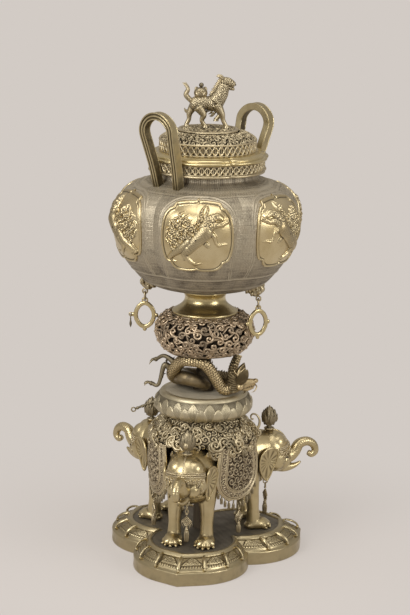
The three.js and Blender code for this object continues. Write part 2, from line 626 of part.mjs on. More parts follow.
// Scroll collar and lotus cushion
function buildCushion() {
  const plate = COLLAR_TOP - WALL;
  addPiece('scroll_collar', turned([
    [COLLAR_RADIUS, COLLAR_BOTTOM],
    [COLLAR_RADIUS + 2, COLLAR_BOTTOM + 9],
    [0.75 * COLLAR_RADIUS + 0.25 * COLLAR_TOP_RADIUS, COLLAR_BOTTOM + 21],
    [COLLAR_TOP_RADIUS + 7, COLLAR_BOTTOM + 35],
    [COLLAR_TOP_RADIUS, COLLAR_TOP],
    [STEM_RADIUS + GAP, COLLAR_TOP],
    [STEM_RADIUS + GAP, plate],
    [COLLAR_TOP_RADIUS - WALL, plate],
    [COLLAR_TOP_RADIUS + 2, COLLAR_BOTTOM + 33],
    [COLLAR_RADIUS - WALL, COLLAR_BOTTOM + 7],
    [COLLAR_RADIUS - WALL, COLLAR_BOTTOM],
  ], TURNED_SIDES), gilt);
  const at = (share) => LOTUS_BOTTOM + share * LOTUS_HEIGHT;
  const lotus = turned([
    [LOTUS_FOOT_RADIUS, LOTUS_BOTTOM],
    [0.92 * LOTUS_RADIUS, at(0.1)],
    [LOTUS_RADIUS, at(0.33)],
    [0.93 * LOTUS_RADIUS, at(0.74)],
    [LOTUS_TOP_RADIUS, LOTUS_TOP],
    [ROD_RADIUS + GAP, LOTUS_TOP],
    [ROD_RADIUS + GAP, LOTUS_TOP - WALL],
    [LOTUS_TOP_RADIUS - WALL, LOTUS_TOP - WALL],
    [0.92 * LOTUS_RADIUS - WALL, at(0.6)],
    [LOTUS_RADIUS - WALL, at(0.35)],
    [LOTUS_FOOT_RADIUS - WALL, at(0.12)],
    [LOTUS_FOOT_RADIUS - WALL, LOTUS_BOTTOM],
  ], TURNED_SIDES);
  const hookZ = at(0.4);
  const tip = outward(LOTUS_RADIUS + HOOK_REACH, 0, hookZ - HOOK_DROP);
  const stalk = [outward(LOTUS_RADIUS - WALL / 2, 0, hookZ),
    outward(LOTUS_RADIUS + 0.4 * HOOK_REACH, 0, hookZ - 2), tip];
  const hook = join(
    bar(stalk, [3.5, 2.2, 1.8], { sides: 6, steps: 5 }),
    eye(tip.clone().add(outward(3, 0, -1)), 4, 1.5, { axis: 'x' }),
  ).rotate([0, 0, HOOK_AZIMUTH]);
  addPiece('lotus_cushion', join(lotus, hook), cast);
}

// Dragon coiled round the upper stem
function buildDragon() {
  const group = turnedGroup(DRAGON_TURN);
  const low = LOTUS_TOP + GAP + DRAGON_RADIUS;
  const high = GLOBE_BOTTOM - GAP - DRAGON_RADIUS;
  const coil = (az, height, share = 1) => polar(share * DRAGON_COIL, az, lerp(low, high, height));
  const path = [coil(90, 1, 1.2), coil(82, 0.6, 1.05), coil(84, 0.25, 1), coil(115, 0.08), coil(155, 0.02),
    coil(-160, 0.02), coil(-115, 0.05), coil(-80, 0.4, 1.12), coil(-54, 0.87), coil(-28, 0.98), coil(-1, 0.92),
    coil(16, 0.62), coil(29, 0.26, 1.04), coil(38, 0.04, 1.1), coil(46, 0.03, 1.22)];
  const radii = [DRAGON_TAIL_RADIUS, DRAGON_TAIL_RADIUS + 2, DRAGON_RADIUS, DRAGON_RADIUS, DRAGON_RADIUS,
    DRAGON_RADIUS, DRAGON_RADIUS, DRAGON_RADIUS - 0.5];
  const leg = (...points) => bar(points, [DRAGON_LEG_RADIUS + 1, DRAGON_LEG_RADIUS - 1, 2], { sides: 5, steps: 4 });
  const body = join(
    bar(path, radii, { sides: 7, steps: 30 }),
    leg(coil(-80, 0.42, 1.12), coil(-82, 0.66, 1.4), coil(-80, 0.02, 1.62), coil(-85, 0.02, 2)),
    leg(coil(-66, 0.75, 1.05), coil(-84, 0.95, 1.45), coil(-90, 0.72, 1.9)),
    leg(coil(100, 0.2, 1.05), coil(96, 0.2, 1.45), coil(92, 0.05, 1.6)),
  );
  addPiece('dragon_body', body, gilt, group);

  const neckEnd = path[path.length - 1];
  const away = neckEnd.clone().sub(path[path.length - 2]).setZ(2).normalize();
  const size = DRAGON_HEAD_LENGTH;
  const spine = (along, rise, aside) => neckEnd.clone()
    .addScaledVector(away, 1.3 * DRAGON_RADIUS + along * size)
    .add(vec(-away.y * aside * size, away.x * aside * size, rise * size));
  const thick = (...shares) => shares.map((share) => share * size);
  const skull = bar([spine(0, 0.07, 0), spine(0.4, 0.21, 0), spine(0.9, 0.1, 0)],
    thick(0.24, 0.31, 0.21, 0.14), { sides: 8, steps: 6 });
  const horn = (side) => bar([spine(0.29, 0.29, side * 0.14), spine(0.4, 0.56, side * 0.23),
    spine(0.62, 0.82, side * 0.29)], thick(0.12, 0.083, 0.036), { sides: 6, steps: 4 });
  const jaw = bar([spine(0.29, 0, 0), spine(0.57, -0.12, 0), spine(0.81, -0.1, 0)],
    thick(0.12, 0.095, 0.06), { sides: 6, steps: 4 });
  const neckShape = bar(path, radii.map((r) => r + GAP), { sides: 7, steps: 30 });
  const beyond = bar([neckEnd, neckEnd.clone().addScaledVector(away, GAP * DRAGON_RADIUS)],
    [DRAGON_RADIUS + GAP], { sides: 8, steps: 1 });
  addPiece('dragon_head', cut(join(skull, horn(1), horn(-1), jaw), neckShape, beyond), gilt, group);
}

// Pierced globe and polished foot
function buildGlobe() {
  const at = (share) => GLOBE_BOTTOM + share * GLOBE_HEIGHT;
  const shell = turned([
    [GLOBE_FOOT_RADIUS, at(0)],
    [0.88 * GLOBE_RADIUS, at(0.12)],
    [0.97 * GLOBE_RADIUS, at(0.32)],
    [GLOBE_RADIUS, at(0.54)],
    [0.965 * GLOBE_RADIUS, at(0.74)],
    [0.87 * GLOBE_RADIUS, at(0.89)],
    [GLOBE_TOP_RADIUS, at(1)],
    [ROD_RADIUS + GAP, at(1)],
    [ROD_RADIUS + GAP, at(1) - PIERCED_WALL],
    [GLOBE_TOP_RADIUS - PIERCED_WALL, at(1) - PIERCED_WALL],
    [0.93 * GLOBE_RADIUS - PIERCED_WALL, at(0.74)],
    [GLOBE_RADIUS - PIERCED_WALL, at(0.54)],
    [0.93 * GLOBE_RADIUS - PIERCED_WALL, at(0.32)],
    [GLOBE_FOOT_RADIUS - PIERCED_WALL, at(0) + PIERCED_WALL],
    [ROD_RADIUS + GAP, at(0) + PIERCED_WALL],
    [ROD_RADIUS + GAP, at(0)],
  ], TURNED_SIDES);
  const drills = [0.32, 0.66].flatMap((share, row) => range(GLOBE_HOLES).map((i) => {
    const az = ((i + row / 2) * 360) / GLOBE_HOLES;
    return new THREE.CylinderGeometry(GLOBE_HOLE_RADIUS, GLOBE_HOLE_RADIUS, 60, 5)
      .translate(0, -GLOBE_RADIUS, 0)
      .rotateZ(rad(az))
      .translate(0, 0, at(share));
  }));
  addPiece('pierced_globe', cut(shell, ...drills), gilt);
  const up = (share) => FOOT_BOTTOM + share * FOOT_HEIGHT;
  addPiece('foot_spool', turned([
    [FOOT_FLANGE_RADIUS, up(0)],
    [FOOT_FLANGE_RADIUS, up(0.12)],
    [lerp(FOOT_NECK_RADIUS, FOOT_FLANGE_RADIUS, 0.5), up(0.28)],
    [FOOT_NECK_RADIUS + 2, up(0.45)],
    [FOOT_NECK_RADIUS, up(0.66)],
    [FOOT_TOP_RADIUS, up(1)],
    [ROD_RADIUS + GAP, up(1)],
    [ROD_RADIUS + GAP, up(1) - WALL],
    [FOOT_NECK_RADIUS - WALL, up(1) - WALL],
    [FOOT_NECK_RADIUS - WALL, up(0.45)],
    [FOOT_FLANGE_RADIUS - WALL - 3, up(0.12)],
    [FOOT_FLANGE_RADIUS - WALL, up(0)],
  ], TURNED_SIDES), polished);
}

// Bowl. Each row is [share of the radius, share of the height, share of the rib depth]
const BOWL_ROWS = [[0.42, 0.03, 0], [0.56, 0.055, 0.2], [0.68, 0.105, 0.5], [0.81, 0.22, 0.85], [0.885, 0.3, 1],
  [0.965, 0.42, 1], [1, 0.58, 1], [1, 0.73, 1], [0.984, 0.79, 1], [0.95, 0.845, 0.9], [0.894, 0.89, 0.8],
  [0.82, 0.93, 0.7], [0.74, 0.96, 0.5], [0.66, 0.985, 0.3]];

// Row where the underside meets the body, and the rows that the inside follows
const SEAM_ROW = 3;
const INNER_ROWS = [1, 5, 7, 11];

function lobedRing(r, z, ribs, grow = 0) {
  const step = 360 / BOWL_LOBES;
  return range(BOWL_LOBES * BOWL_LOBE_SIDES).map((i) => {
    const swing = (i % BOWL_LOBE_SIDES) / BOWL_LOBE_SIDES - 0.5;
    const az = BOWL_TURN + Math.floor(i / BOWL_LOBE_SIDES) * step + swing * step;
    return polar(r * (1 - RIB_DEPTH * ribs * Math.abs(2 * swing) ** 2.2) + grow, az, z);
  });
}

function bowlSkin(grow) {
  return [
    lobedRing(BOWL_FOOT_RADIUS, BOWL_BOTTOM - grow, 0, grow),
    ...BOWL_ROWS.map(([r, h, ribs]) => lobedRing(r * BOWL_RADIUS, BOWL_BOTTOM + h * BOWL_HEIGHT, ribs, grow)),
    lobedRing(NECK_RADIUS, SHOULDER_Z + 4, 0, grow),
    lobedRing(NECK_RADIUS, MOUTH_Z + 2 * Math.max(grow, 0), 0, grow),
  ];
}

function buildBowl() {
  const floor = BOWL_BOTTOM + WALL;
  const profile = BOWL_ROWS.map(([r, h]) => new THREE.Vector2(r * BOWL_RADIUS, BOWL_BOTTOM + h * BOWL_HEIGHT));
  const slope = (i) => profile[i + 1].clone().sub(profile[i - 1]).normalize();
  const [innerFloor, ...innerSide] = INNER_ROWS.map((i) => {
    const spot = profile[i].clone().add(new THREE.Vector2(-slope(i).y, slope(i).x).multiplyScalar(WALL));
    return lobedRing(spot.x, spot.y, BOWL_ROWS[i][2]);
  });
  const seam = profile[SEAM_ROW];
  const seamRing = (inset, drop) => lobedRing(seam.x - inset, seam.y - drop, BOWL_ROWS[SEAM_ROW][2]);
  const seamWall = WALL / slope(SEAM_ROW).y;
  const skin = bowlSkin(0);
  addPiece('bowl_underside', loft([
    ...skin.slice(0, SEAM_ROW + 1),
    seamRing(0, GAP),
    seamRing(seamWall, GAP),
    innerFloor,
    lobedRing(BOWL_FOOT_RADIUS, floor, 0),
    lobedRing(ROD_RADIUS + GAP, floor, 0),
    lobedRing(ROD_RADIUS + GAP, BOWL_BOTTOM, 0),
  ], true), patina);
  addPiece('bowl_body', loft([
    ...skin.slice(SEAM_ROW + 1),
    lobedRing(NECK_RADIUS - WALL, MOUTH_Z, 0),
    lobedRing(NECK_RADIUS - WALL, SHOULDER_Z + 2, 0),
    ...innerSide.reverse(),
    seamRing(seamWall, 0),
  ], true), patina);

  const room = loft(bowlSkin(GAP));
  const low = PANEL_MIDDLE - PANEL_SHARE / 2;
  const edges = [low, low + 0.12 * PANEL_SHARE];
  const upper = edges.map((h) => 2 * PANEL_MIDDLE - h).reverse();
  const between = BOWL_ROWS.map(([, h]) => h).filter((h) => h > edges[1] + 0.02 && h < upper[0] - 0.02);
  const rows = [...edges, ...between, ...upper];
  const columns = [-1, -0.7, 0, 0.7, 1];
  for (const lobe of range(BOWL_LOBES)) {
    const group = turnedGroup(BOWL_TURN + (360 * lobe) / BOWL_LOBES);
    const grid = (lift) => rows.map((h, i) => columns.map((side) => {
      const pinch = i === 0 || i === rows.length - 1 ? 0.8 : 1;
      return polar(bowlRadiusAt(h) + lift, side * pinch * PANEL_HALF_ANGLE, BOWL_BOTTOM + h * BOWL_HEIGHT);
    }));
    const plate = slab(grid(PANEL_LIFT), grid(-3 * PANEL_LIFT));
    const local = room.clone().rotateZ(-group.rotation.z);
    addPiece(`relief_panel_${lobe + 1}`, cut(plate, local), polished, group);
  }
  buildHandles(room);
  buildMasks(room);

  const gallery = SHOULDER_Z + GALLERY_RISE;
  const inside = NECK_RADIUS + GAP;
  const gallerySolid = loft([
    lobedRing(GALLERY_RADIUS, gallery, 0.5),
    lobedRing(GALLERY_RADIUS, gallery + GALLERY_RING, 0.5),
    lobedRing(GALLERY_RADIUS - 4, gallery + GALLERY_RING + 1, 0.5),
    lobedRing(GALLERY_RADIUS - 4, MOUTH_Z - GAP, 0.5),
    lobedRing(inside, MOUTH_Z - GAP, 0),
    lobedRing(inside, gallery, 0),
  ], true);
  const notches = [LEFT_HANDLE, RIGHT_HANDLE].map((handle) => handleSolid(handle, GAP));
  addPiece('rim_gallery', cut(gallerySolid, ...notches), cast);
}

// Radius of the bowl's skin at a share of its height, in the middle of a lobe
function bowlRadiusAt(h) {
  const above = BOWL_ROWS.findIndex((row) => row[1] >= h);
  const [r0, h0] = BOWL_ROWS[above - 1];
  const [r1, h1] = BOWL_ROWS[above];
  return BOWL_RADIUS * lerp(r0, r1, (h - h0) / (h1 - h0));
}

// Handle strap grown by a margin, turned to its azimuth
function handleSolid({ az, height }, grow) {
  const foot = SHOULDER_Z - HANDLE_SINK;
  const straight = height - HANDLE_TOP_SPREAD + HANDLE_WIDTH;
  const point = (side, share, lift) => outward(HANDLE_OUT + HANDLE_LEAN * share,
    side * lerp(HANDLE_FOOT_SPREAD, HANDLE_TOP_SPREAD, share), foot + lift);
  const leg = (side) => [[0, 0], [0.4, 0.5], [0.9, 1]].map(([share, up]) => point(side, share, up * straight));
  const arch = range(5).map((i) => {
    const a = Math.PI * (1 - (i + 1) / 6);
    return outward(HANDLE_OUT + HANDLE_LEAN * (0.9 + 0.1 * Math.sin(a)), HANDLE_TOP_SPREAD * Math.cos(a),
      foot + straight + HANDLE_TOP_SPREAD * Math.sin(a));
  });
  const points = [...leg(-1), ...arch, ...leg(1).reverse()];
  return strapSolid(points, HANDLE_WIDTH + 2 * grow, HANDLE_DEPTH + 2 * grow).rotateZ(rad(BOWL_TURN + az));
}

function buildHandles(room) {
  for (const handle of [LEFT_HANDLE, RIGHT_HANDLE]) {
    addPiece(`handle_${handle.place}`, cut(handleSolid(handle, 0), room), polished);
  }
}

// Flat-sided strap whose width lies across the loop and whose depth points outward
function strapSolid(points, width, depth) {
  const rings = points.map((p, i) => {
    const before = points[Math.max(i - 1, 0)];
    const after = points[Math.min(i + 1, points.length - 1)];
    const along = after.clone().sub(before).normalize();
    const across = along.clone().cross(vec(0, -1, 0)).normalize();
    const deep = across.clone().cross(along).normalize();
    return [[-1, -1], [1, -1], [1, 1], [-1, 1]].map(([a, d]) => p.clone()
      .addScaledVector(across, (a * width) / 2)
      .addScaledVector(deep, (d * depth) / 2));
  });
  return loft(rings);
}

const MASK_TOP_Z = BOWL_BOTTOM + 0.14 * BOWL_HEIGHT;
const RING_HINGE_DROP = LINK_WIRE + WIRE + LINK_SLACK - LINK_LENGTH;

function buildMasks(room) {
  for (const { place, az, beyondGlobe, drop, twist } of [LEFT_MASK, RIGHT_MASK]) {
    const group = turnedGroup(BOWL_TURN + az);
    const out = GLOBE_RADIUS + beyondGlobe;
    const eyeZ = MASK_TOP_Z - drop;
    const snout = bar([
      outward(out - 18, 0, MASK_TOP_Z + 6),
      outward(out - 7, 0, MASK_TOP_Z - 9),
      outward(out - 2, 0, eyeZ + 16),
      outward(out, 0, eyeZ + EYE_RADIUS),
    ], [MASK_RADIUS, MASK_RADIUS, 0.7 * MASK_RADIUS, WIRE + 0.5], { sides: 6, steps: 4 });
    const local = room.clone().rotateZ(-group.rotation.z);
    const mask = join(snout, eye(outward(out, 0, eyeZ), EYE_RADIUS, WIRE, { axis: 'x' }));
    addPiece(`mask_${place}`, cut(mask, local), cast, group);
    buildRing(place, group, outward(out, 0, eyeZ), twist);
  }
}

// Long link through the mask's eye, and a ring whose own small eye hangs in the link
function buildRing(place, group, snoutEye, twist) {
  const hang = (turn) => {
    const frame = new THREE.Group();
    frame.position.copy(snoutEye);
    frame.rotation.z = rad(turn);
    group.add(frame);
    return frame;
  };
  const middle = -HINGE_SLACK - LINK_LENGTH / 2;
  const oval = range(8).map((i) => {
    const a = (2 * Math.PI * i) / 8;
    return vec(LINK_HALF_WIDTH * Math.sin(a), 0, middle + (LINK_LENGTH / 2) * Math.cos(a));
  });
  addPiece(`link_${place}`, bar(oval, [LINK_WIRE], { sides: 4, steps: 10, closed: true }), cast, hang(twist / 2));

  const eyeCentre = RING_HINGE_DROP - EYE_RADIUS;
  const centre = eyeCentre - EYE_RADIUS - WIRE / 2 - RING_HALF_HEIGHT;
  const hoop = range(12).map((i) => {
    const a = (2 * Math.PI * i) / 12;
    return vec(0, -RING_HALF_WIDTH * Math.sin(a), centre + RING_HALF_HEIGHT * Math.cos(a));
  });
  const edge = RING_HALF_WIDTH + RING_WIRE;
  const lug = (side, drop) => ellipsoid(vec(0, side, centre - drop), vec(3, 5, 5), 5, 4);
  const parts = [
    bar(hoop, [RING_WIRE], { sides: 5, steps: 16, closed: true }),
    eye(vec(0, 0, eyeCentre), EYE_RADIUS, WIRE, { axis: 'x' }),
    lug(-edge, 0), lug(edge, 0), lug(0, RING_HALF_HEIGHT + RING_WIRE),
  ];
  const ringFrame = hang(twist);
  if (place === 'left') {
    const out = -edge - DROP_EYE_RADIUS - 3;
    parts.push(eye(vec(0, out, centre), DROP_EYE_RADIUS, DROP_WIRE, { axis: 'x', steps: 6 }));
    const axis = centre - HINGE_SLACK;
    const low = axis - DROP_LENGTH;
    const drop = join(
      eye(vec(0, 0, axis - DROP_EYE_RADIUS), DROP_EYE_RADIUS, DROP_WIRE, { steps: 6 }),
      turned([[0, low], [2.6, low + 6], [DROP_WIRE, axis - 2 * DROP_EYE_RADIUS],
        [0, axis - 2 * DROP_EYE_RADIUS]], 5),
    );
    addPiece('ring_drop_left', drop.translate([0, out, 0]), cast, ringFrame);
  }
  addPiece(`ring_${place}`, join(...parts), polished, ringFrame);
}

// Lid
function buildLid() {
  const flangeTop = LID_BOTTOM + LID_FLANGE_HEIGHT;
  const bore = LID_BAND_RADIUS - 8;
  addPiece('lid_flange', loft([
    lobedRing(LID_RADIUS - 4, LID_BOTTOM, 0.5),
    lobedRing(LID_RADIUS, LID_BOTTOM + 3, 0.5),
    lobedRing(LID_RADIUS, LID_BOTTOM + 7, 0.5),
    lobedRing(LID_RADIUS - 8, LID_BOTTOM + 9, 0.5),
    lobedRing(LID_RADIUS - 9, flangeTop, 0.5),
    lobedRing(bore, flangeTop, 0),
    lobedRing(bore, LID_BOTTOM, 0),
  ], true), polished);
  const spigotTop = LID_BOTTOM - GAP;
  const spigotRadius = NECK_RADIUS - WALL - 1;
  addPiece('lid_spigot', loft([
    lobedRing(bore, LID_BOTTOM - LID_SPIGOT, 0),
    lobedRing(spigotRadius, LID_BOTTOM - LID_SPIGOT, 0),
    lobedRing(spigotRadius, spigotTop, 0),
    lobedRing(bore, spigotTop, 0),
  ], true), cast);

  const domeTop = LID_DOME_Z + LID_DOME_HEIGHT;
  const shell = turned([
    [LID_BAND_RADIUS, LID_BAND_Z],
    [LID_BAND_RADIUS, LID_DOME_Z],
    [0.9 * LID_BAND_RADIUS, LID_DOME_Z + 0.45 * LID_DOME_HEIGHT],
    [0.78 * LID_BAND_RADIUS, LID_DOME_Z + 0.85 * LID_DOME_HEIGHT],
    [CAP_RADIUS + 1, domeTop],
    [CAP_RADIUS - WALL, domeTop],
    [CAP_RADIUS - WALL, domeTop - PIERCED_WALL],
    [0.7 * LID_BAND_RADIUS, domeTop - 2 * PIERCED_WALL],
    [0.84 * LID_BAND_RADIUS, LID_DOME_Z + 0.45 * LID_DOME_HEIGHT],
    [LID_BAND_RADIUS - PIERCED_WALL, LID_DOME_Z - 1],
    [LID_BAND_RADIUS - PIERCED_WALL, LID_BAND_Z],
  ], TURNED_SIDES);
  const bandWindows = range(LID_WINDOWS).map((i) => new THREE.BoxGeometry(9, 30, LID_BAND_HEIGHT - 8)
    .translate(0, -LID_BAND_RADIUS, LID_BAND_Z + LID_BAND_HEIGHT / 2)
    .rotateZ(rad((360 * (i + 0.5)) / LID_WINDOWS)));
  const domeWindows = range(DOME_WINDOWS).map((i) => new THREE.BoxGeometry(20, 24, 9)
    .rotateX(rad(-40))
    .translate(0, -0.83 * LID_BAND_RADIUS, LID_DOME_Z + 0.6 * LID_DOME_HEIGHT)
    .rotateZ(rad((360 * i) / DOME_WINDOWS)));
  addPiece('lid_dome', cut(shell, ...bandWindows, ...domeWindows), patina);

  const pegHoles = pegPlaces().map(([x, y]) => turned([[0, CAP_BOTTOM - 1], [PEG_RADIUS + GAP, CAP_BOTTOM - 1],
    [PEG_RADIUS + GAP, CAP_TOP + 1], [0, CAP_TOP + 1]], 8).translate(x, y, 0));
  const cap = turned([[0, CAP_BOTTOM], [CAP_RADIUS - 2, CAP_BOTTOM], [CAP_RADIUS, CAP_BOTTOM + 2],
    [CAP_RADIUS - 3, CAP_TOP], [0, CAP_TOP]], TURNED_SIDES);
  addPiece('lid_cap_disc', cut(cap, ...pegHoles), cast);
  buildBeast();
}

// Hoof places of the finial beast, along its walk in shares of its length and aside in shares of its height
const HOOVES = [[-0.44, 0.07], [-0.09, -0.07], [0.35, -0.07]];

const beastSpot = (along, aside) => [along * BEAST_LENGTH, BEAST_BACK + aside * BEAST_HEIGHT];

function pegPlaces() {
  return HOOVES.slice(0, 1).concat(HOOVES.slice(2)).map(([along, aside]) => {
    const spot = vec(...beastSpot(along, aside), 0).applyAxisAngle(vec(0, 0, 1), rad(BEAST_TURN));
    return [spot.x, spot.y];
  });
}

function buildBeast() {
  const group = turnedGroup(BEAST_TURN);
  const ground = CAP_TOP + GAP;
  const at = (along, aside, up) => vec(...beastSpot(along, aside), ground + up * BEAST_HEIGHT);
  const thick = (...shares) => shares.map((share) => share * BEAST_HEIGHT);
  const limb = (...stations) => bar(stations.map(([a, s, u]) => at(a, s, u)),
    thick(0.09, 0.06, 0.035, 0.04), { sides: 5, steps: 3 });
  const [rear, middle, fore] = HOOVES;
  const beast = join(
    ellipsoid(at(-0.04, 0, 0.47), vec(...thick(0.31, 0.14, 0.15)), 8, 6),
    bar([at(0.16, 0, 0.5), at(0.27, 0, 0.68), at(0.33, 0, 0.86)], thick(0.15, 0.11, 0.09), { sides: 6, steps: 3 }),
    bar([at(0.28, 0, 0.88), at(0.42, 0, 0.9), at(0.54, 0, 0.84)], thick(0.09, 0.07, 0.045), { sides: 6, steps: 3 }),
    bar([at(0.27, 0, 0.92), at(0.16, 0, 0.99)], thick(0.035, 0.015), { sides: 5, steps: 2 }),
    limb([-0.26, 0.07, 0.45], [-0.36, 0.07, 0.26], [rear[0], rear[1], 0.035]),
    limb([-0.2, -0.07, 0.4], [-0.05, -0.07, 0.25], [middle[0], middle[1], 0.035]),
    limb([0.18, -0.07, 0.45], [0.26, -0.07, 0.25], [fore[0], fore[1], 0.035]),
    limb([0.14, 0.07, 0.42], [0.22, 0.07, 0.28], [0.12, 0.07, 0.16]),
    ellipsoid(at(-0.14, 0, 0.68), vec(...thick(0.13, 0.09, 0.15)), 8, 6),
    bar([at(-0.34, 0, 0.5), at(-0.46, 0, 0.62), at(-0.4, 0, 0.76), at(-0.5, 0, 0.85)],
      thick(0.05, 0.06, 0.04, 0.015), { sides: 5, steps: 5 }),
    ...HOOVES.map(([along, aside]) => turned([[0, 0], [0.05, 0], [0.04, 0.06], [0, 0.06]]
      .map(([r, up]) => [r * BEAST_HEIGHT, ground + up * BEAST_HEIGHT]), 6)
      .translate(...beastSpot(along, aside), 0)),
    ...[rear, fore].map(([along, aside]) => turned([[0, CAP_BOTTOM - GAP - FINIAL_NUT_HEIGHT - 1],
      [PEG_RADIUS, CAP_BOTTOM - GAP - FINIAL_NUT_HEIGHT - 1], [PEG_RADIUS, ground + 2], [0, ground + 2]], 6)
      .translate(...beastSpot(along, aside), 0)),
  );
  addPiece('finial_beast', beast, gilt, group);
  const low = CAP_BOTTOM - GAP - FINIAL_NUT_HEIGHT;
  for (const [place, [along, aside]] of [['rear', rear], ['fore', fore]]) {
    const nut = cut(
      turned([[0, low], [FINIAL_NUT_ACROSS / 2, low], [FINIAL_NUT_ACROSS / 2, CAP_BOTTOM - GAP],
        [0, CAP_BOTTOM - GAP]], 6),
      turned([[0, low - 1], [PEG_RADIUS + GAP, low - 1], [PEG_RADIUS + GAP, CAP_BOTTOM], [0, CAP_BOTTOM]], 8),
    );
    addPiece(`finial_nut_${place}`, nut.translate([...beastSpot(along, aside), 0]), cast, group);
  }
}

buildBase();
buildColumn();
['front', 'right', 'left'].forEach(buildElephant);
['right', 'back', 'left'].forEach(buildCloth);
buildCushion();
buildDragon();
buildGlobe();
buildBowl();
buildLid();

export default incenseBurner;
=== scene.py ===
"""Looks of a bronze incense burner: lobed bowl, lid, globe, dragon, lotus cushion and elephants.

Sizes are in millimetres and azimuths in degrees from -Y towards +X, as in the frame.
"""
import json
import logging
import math
from dataclasses import dataclass
from enum import Enum
from typing import Iterable, Sequence

import bpy
import numpy as np
from mathutils import Matrix, Vector
from mathutils.bvhtree import BVHTree


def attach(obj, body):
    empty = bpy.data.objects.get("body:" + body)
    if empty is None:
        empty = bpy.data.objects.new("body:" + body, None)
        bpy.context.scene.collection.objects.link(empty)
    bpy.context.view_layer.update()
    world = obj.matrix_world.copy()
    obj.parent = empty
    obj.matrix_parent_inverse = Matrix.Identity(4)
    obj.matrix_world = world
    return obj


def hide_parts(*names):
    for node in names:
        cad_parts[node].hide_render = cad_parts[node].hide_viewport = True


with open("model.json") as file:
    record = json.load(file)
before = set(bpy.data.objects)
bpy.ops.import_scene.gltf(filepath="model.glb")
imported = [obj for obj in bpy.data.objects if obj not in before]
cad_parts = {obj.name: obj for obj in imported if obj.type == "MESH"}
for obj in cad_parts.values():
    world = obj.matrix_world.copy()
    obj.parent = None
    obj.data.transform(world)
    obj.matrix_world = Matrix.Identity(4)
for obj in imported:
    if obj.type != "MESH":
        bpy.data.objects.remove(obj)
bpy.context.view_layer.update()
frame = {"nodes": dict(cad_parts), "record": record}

LOG = logging.getLogger("incense_burner")
MM = 0.001
Array = np.ndarray
Point = Sequence[float]
Triple = tuple[float, float, float]
Socket = bpy.types.NodeSocket
UP = np.array([0, 0, 1.0])
TINY = 1e-9
SPLINE_STEPS = 24

# Sizes that several sub-assemblies share, the same as those of the frame
LOBE_STEP = 120.0
BOWL_LOBE = 60.0
BOWL_TURN = 6.3
BOWL_BOTTOM = 533.1
BOWL_HEIGHT = 214.0
SHOULDER_Z = BOWL_BOTTOM + BOWL_HEIGHT
MASK_TOP = BOWL_BOTTOM + 0.14 * BOWL_HEIGHT
FLOOR_Z = 48.3
CLOTH_TOP = 239.6
LOTUS_BOTTOM = 286.8
GLOBE_BOTTOM = 411.8
GLOBE_TOP = 486.8
LID_GROUND = 844.1


def rad(degrees: float | Array) -> float | Array:
    """Return degrees as radians."""
    return np.radians(degrees)


def polar(r: float | Array, az: float | Array, z: float | Array) -> Array:
    """Return points at a radius, azimuth and height.

    Args:
        r: Radius from the axis.
        az: Azimuth, from -Y towards +X.
        z: Height.

    Returns:
        Points with x, y and z along the last axis.
    """
    r, az, z = np.broadcast_arrays(np.asarray(r, float), np.asarray(az, float), np.asarray(z, float))
    return np.stack([r * np.sin(rad(az)), -r * np.cos(rad(az)), z], axis=-1)


def out(reach: float, side: float, z: float) -> Triple:
    """Return a point in a frame whose outward direction is -Y."""
    return (side, -reach, z)


def unit(vectors: Array) -> Array:
    """Return vectors, which lie along the last axis, at unit length."""
    return vectors / np.maximum(np.linalg.norm(vectors, axis=-1, keepdims=True), TINY)


def turns(count: int, whole: float = 360.0) -> Array:
    """Return even steps through one turn, without its end."""
    return np.linspace(0, whole, count, endpoint=False)


def hoop(centre: Point, wide: float, high: float, count: int = 10, across: Point = (0, -1, 0),
         upward: Point = UP) -> Array:
    """Return points round an oval, from its top.

    Args:
        centre: Its middle.
        wide: Its radius across.
        high: Its radius upward.
        count: How many points it gets.
        across: Its first direction, of unit length.
        upward: Its second direction, of unit length.

    Returns:
        The points.
    """
    a = turns(count, math.tau)[:, None]
    reach = wide * np.sin(a) * np.asarray(across, float)
    return np.asarray(centre, float) + reach + high * np.cos(a) * np.asarray(upward, float)


def polygon(corners: Sequence[Point], count: int) -> tuple[Array, Array, Array]:
    """Return points along a polygon, with the side that each is on and its share of that side."""
    spots = np.array([*corners, corners[0]], float)
    t = turns(count, len(corners))
    side = np.floor(t).astype(int)
    part = t - side
    return spots[side] * (1 - part)[:, None] + spots[side + 1] * part[:, None], side, part


def smooth_step(low: float, high: float, value: Array) -> Array:
    """Return 0 below low, 1 above high and an S-curve between."""
    t = np.clip((value - low) / (high - low), 0.0, 1.0)
    return t * t * (3.0 - 2.0 * t)


def spline(points: Iterable[Point], steps: int, closed: bool = False) -> Array:
    """Return points on a smooth curve through the given ones, evenly spaced.

    Args:
        points: The points that the curve goes through.
        steps: How many spans the curve gets.
        closed: Whether the curve returns to its start.

    Returns:
        steps + 1 points, or steps points when closed.
    """
    p = np.asarray(list(points), float)
    if closed:
        q = np.concatenate([p[-1:], p, p[:2]])
    else:
        q = np.concatenate([2 * p[:1] - p[1:2], p, 2 * p[-1:] - p[-2:-1]])
    fine = []
    t = turns(SPLINE_STEPS, 1)[:, None]
    for i in range(len(q) - 3):
        a, b, c, d = q[i:i + 4]
        fine.append(0.5 * (2 * b + (c - a) * t + (2 * a - 5 * b + 4 * c - d) * t**2
                           + (3 * b - a - 3 * c + d) * t**3))
    fine.append(q[-2:-1])
    curve = np.concatenate(fine)
    length = np.concatenate([[0], np.cumsum(np.linalg.norm(np.diff(curve, axis=0), axis=1))])
    at = np.linspace(0, length[-1], steps + 1)
    even = np.stack([np.interp(at, length, curve[:, k]) for k in range(curve.shape[1])], axis=1)
    return even[:-1] if closed else even


def along(values: Sequence[float], count: int) -> Array:
    """Return values spread evenly over count places, with straight lines between."""
    return np.interp(np.linspace(0, 1, count), np.linspace(0, 1, len(values)), values)


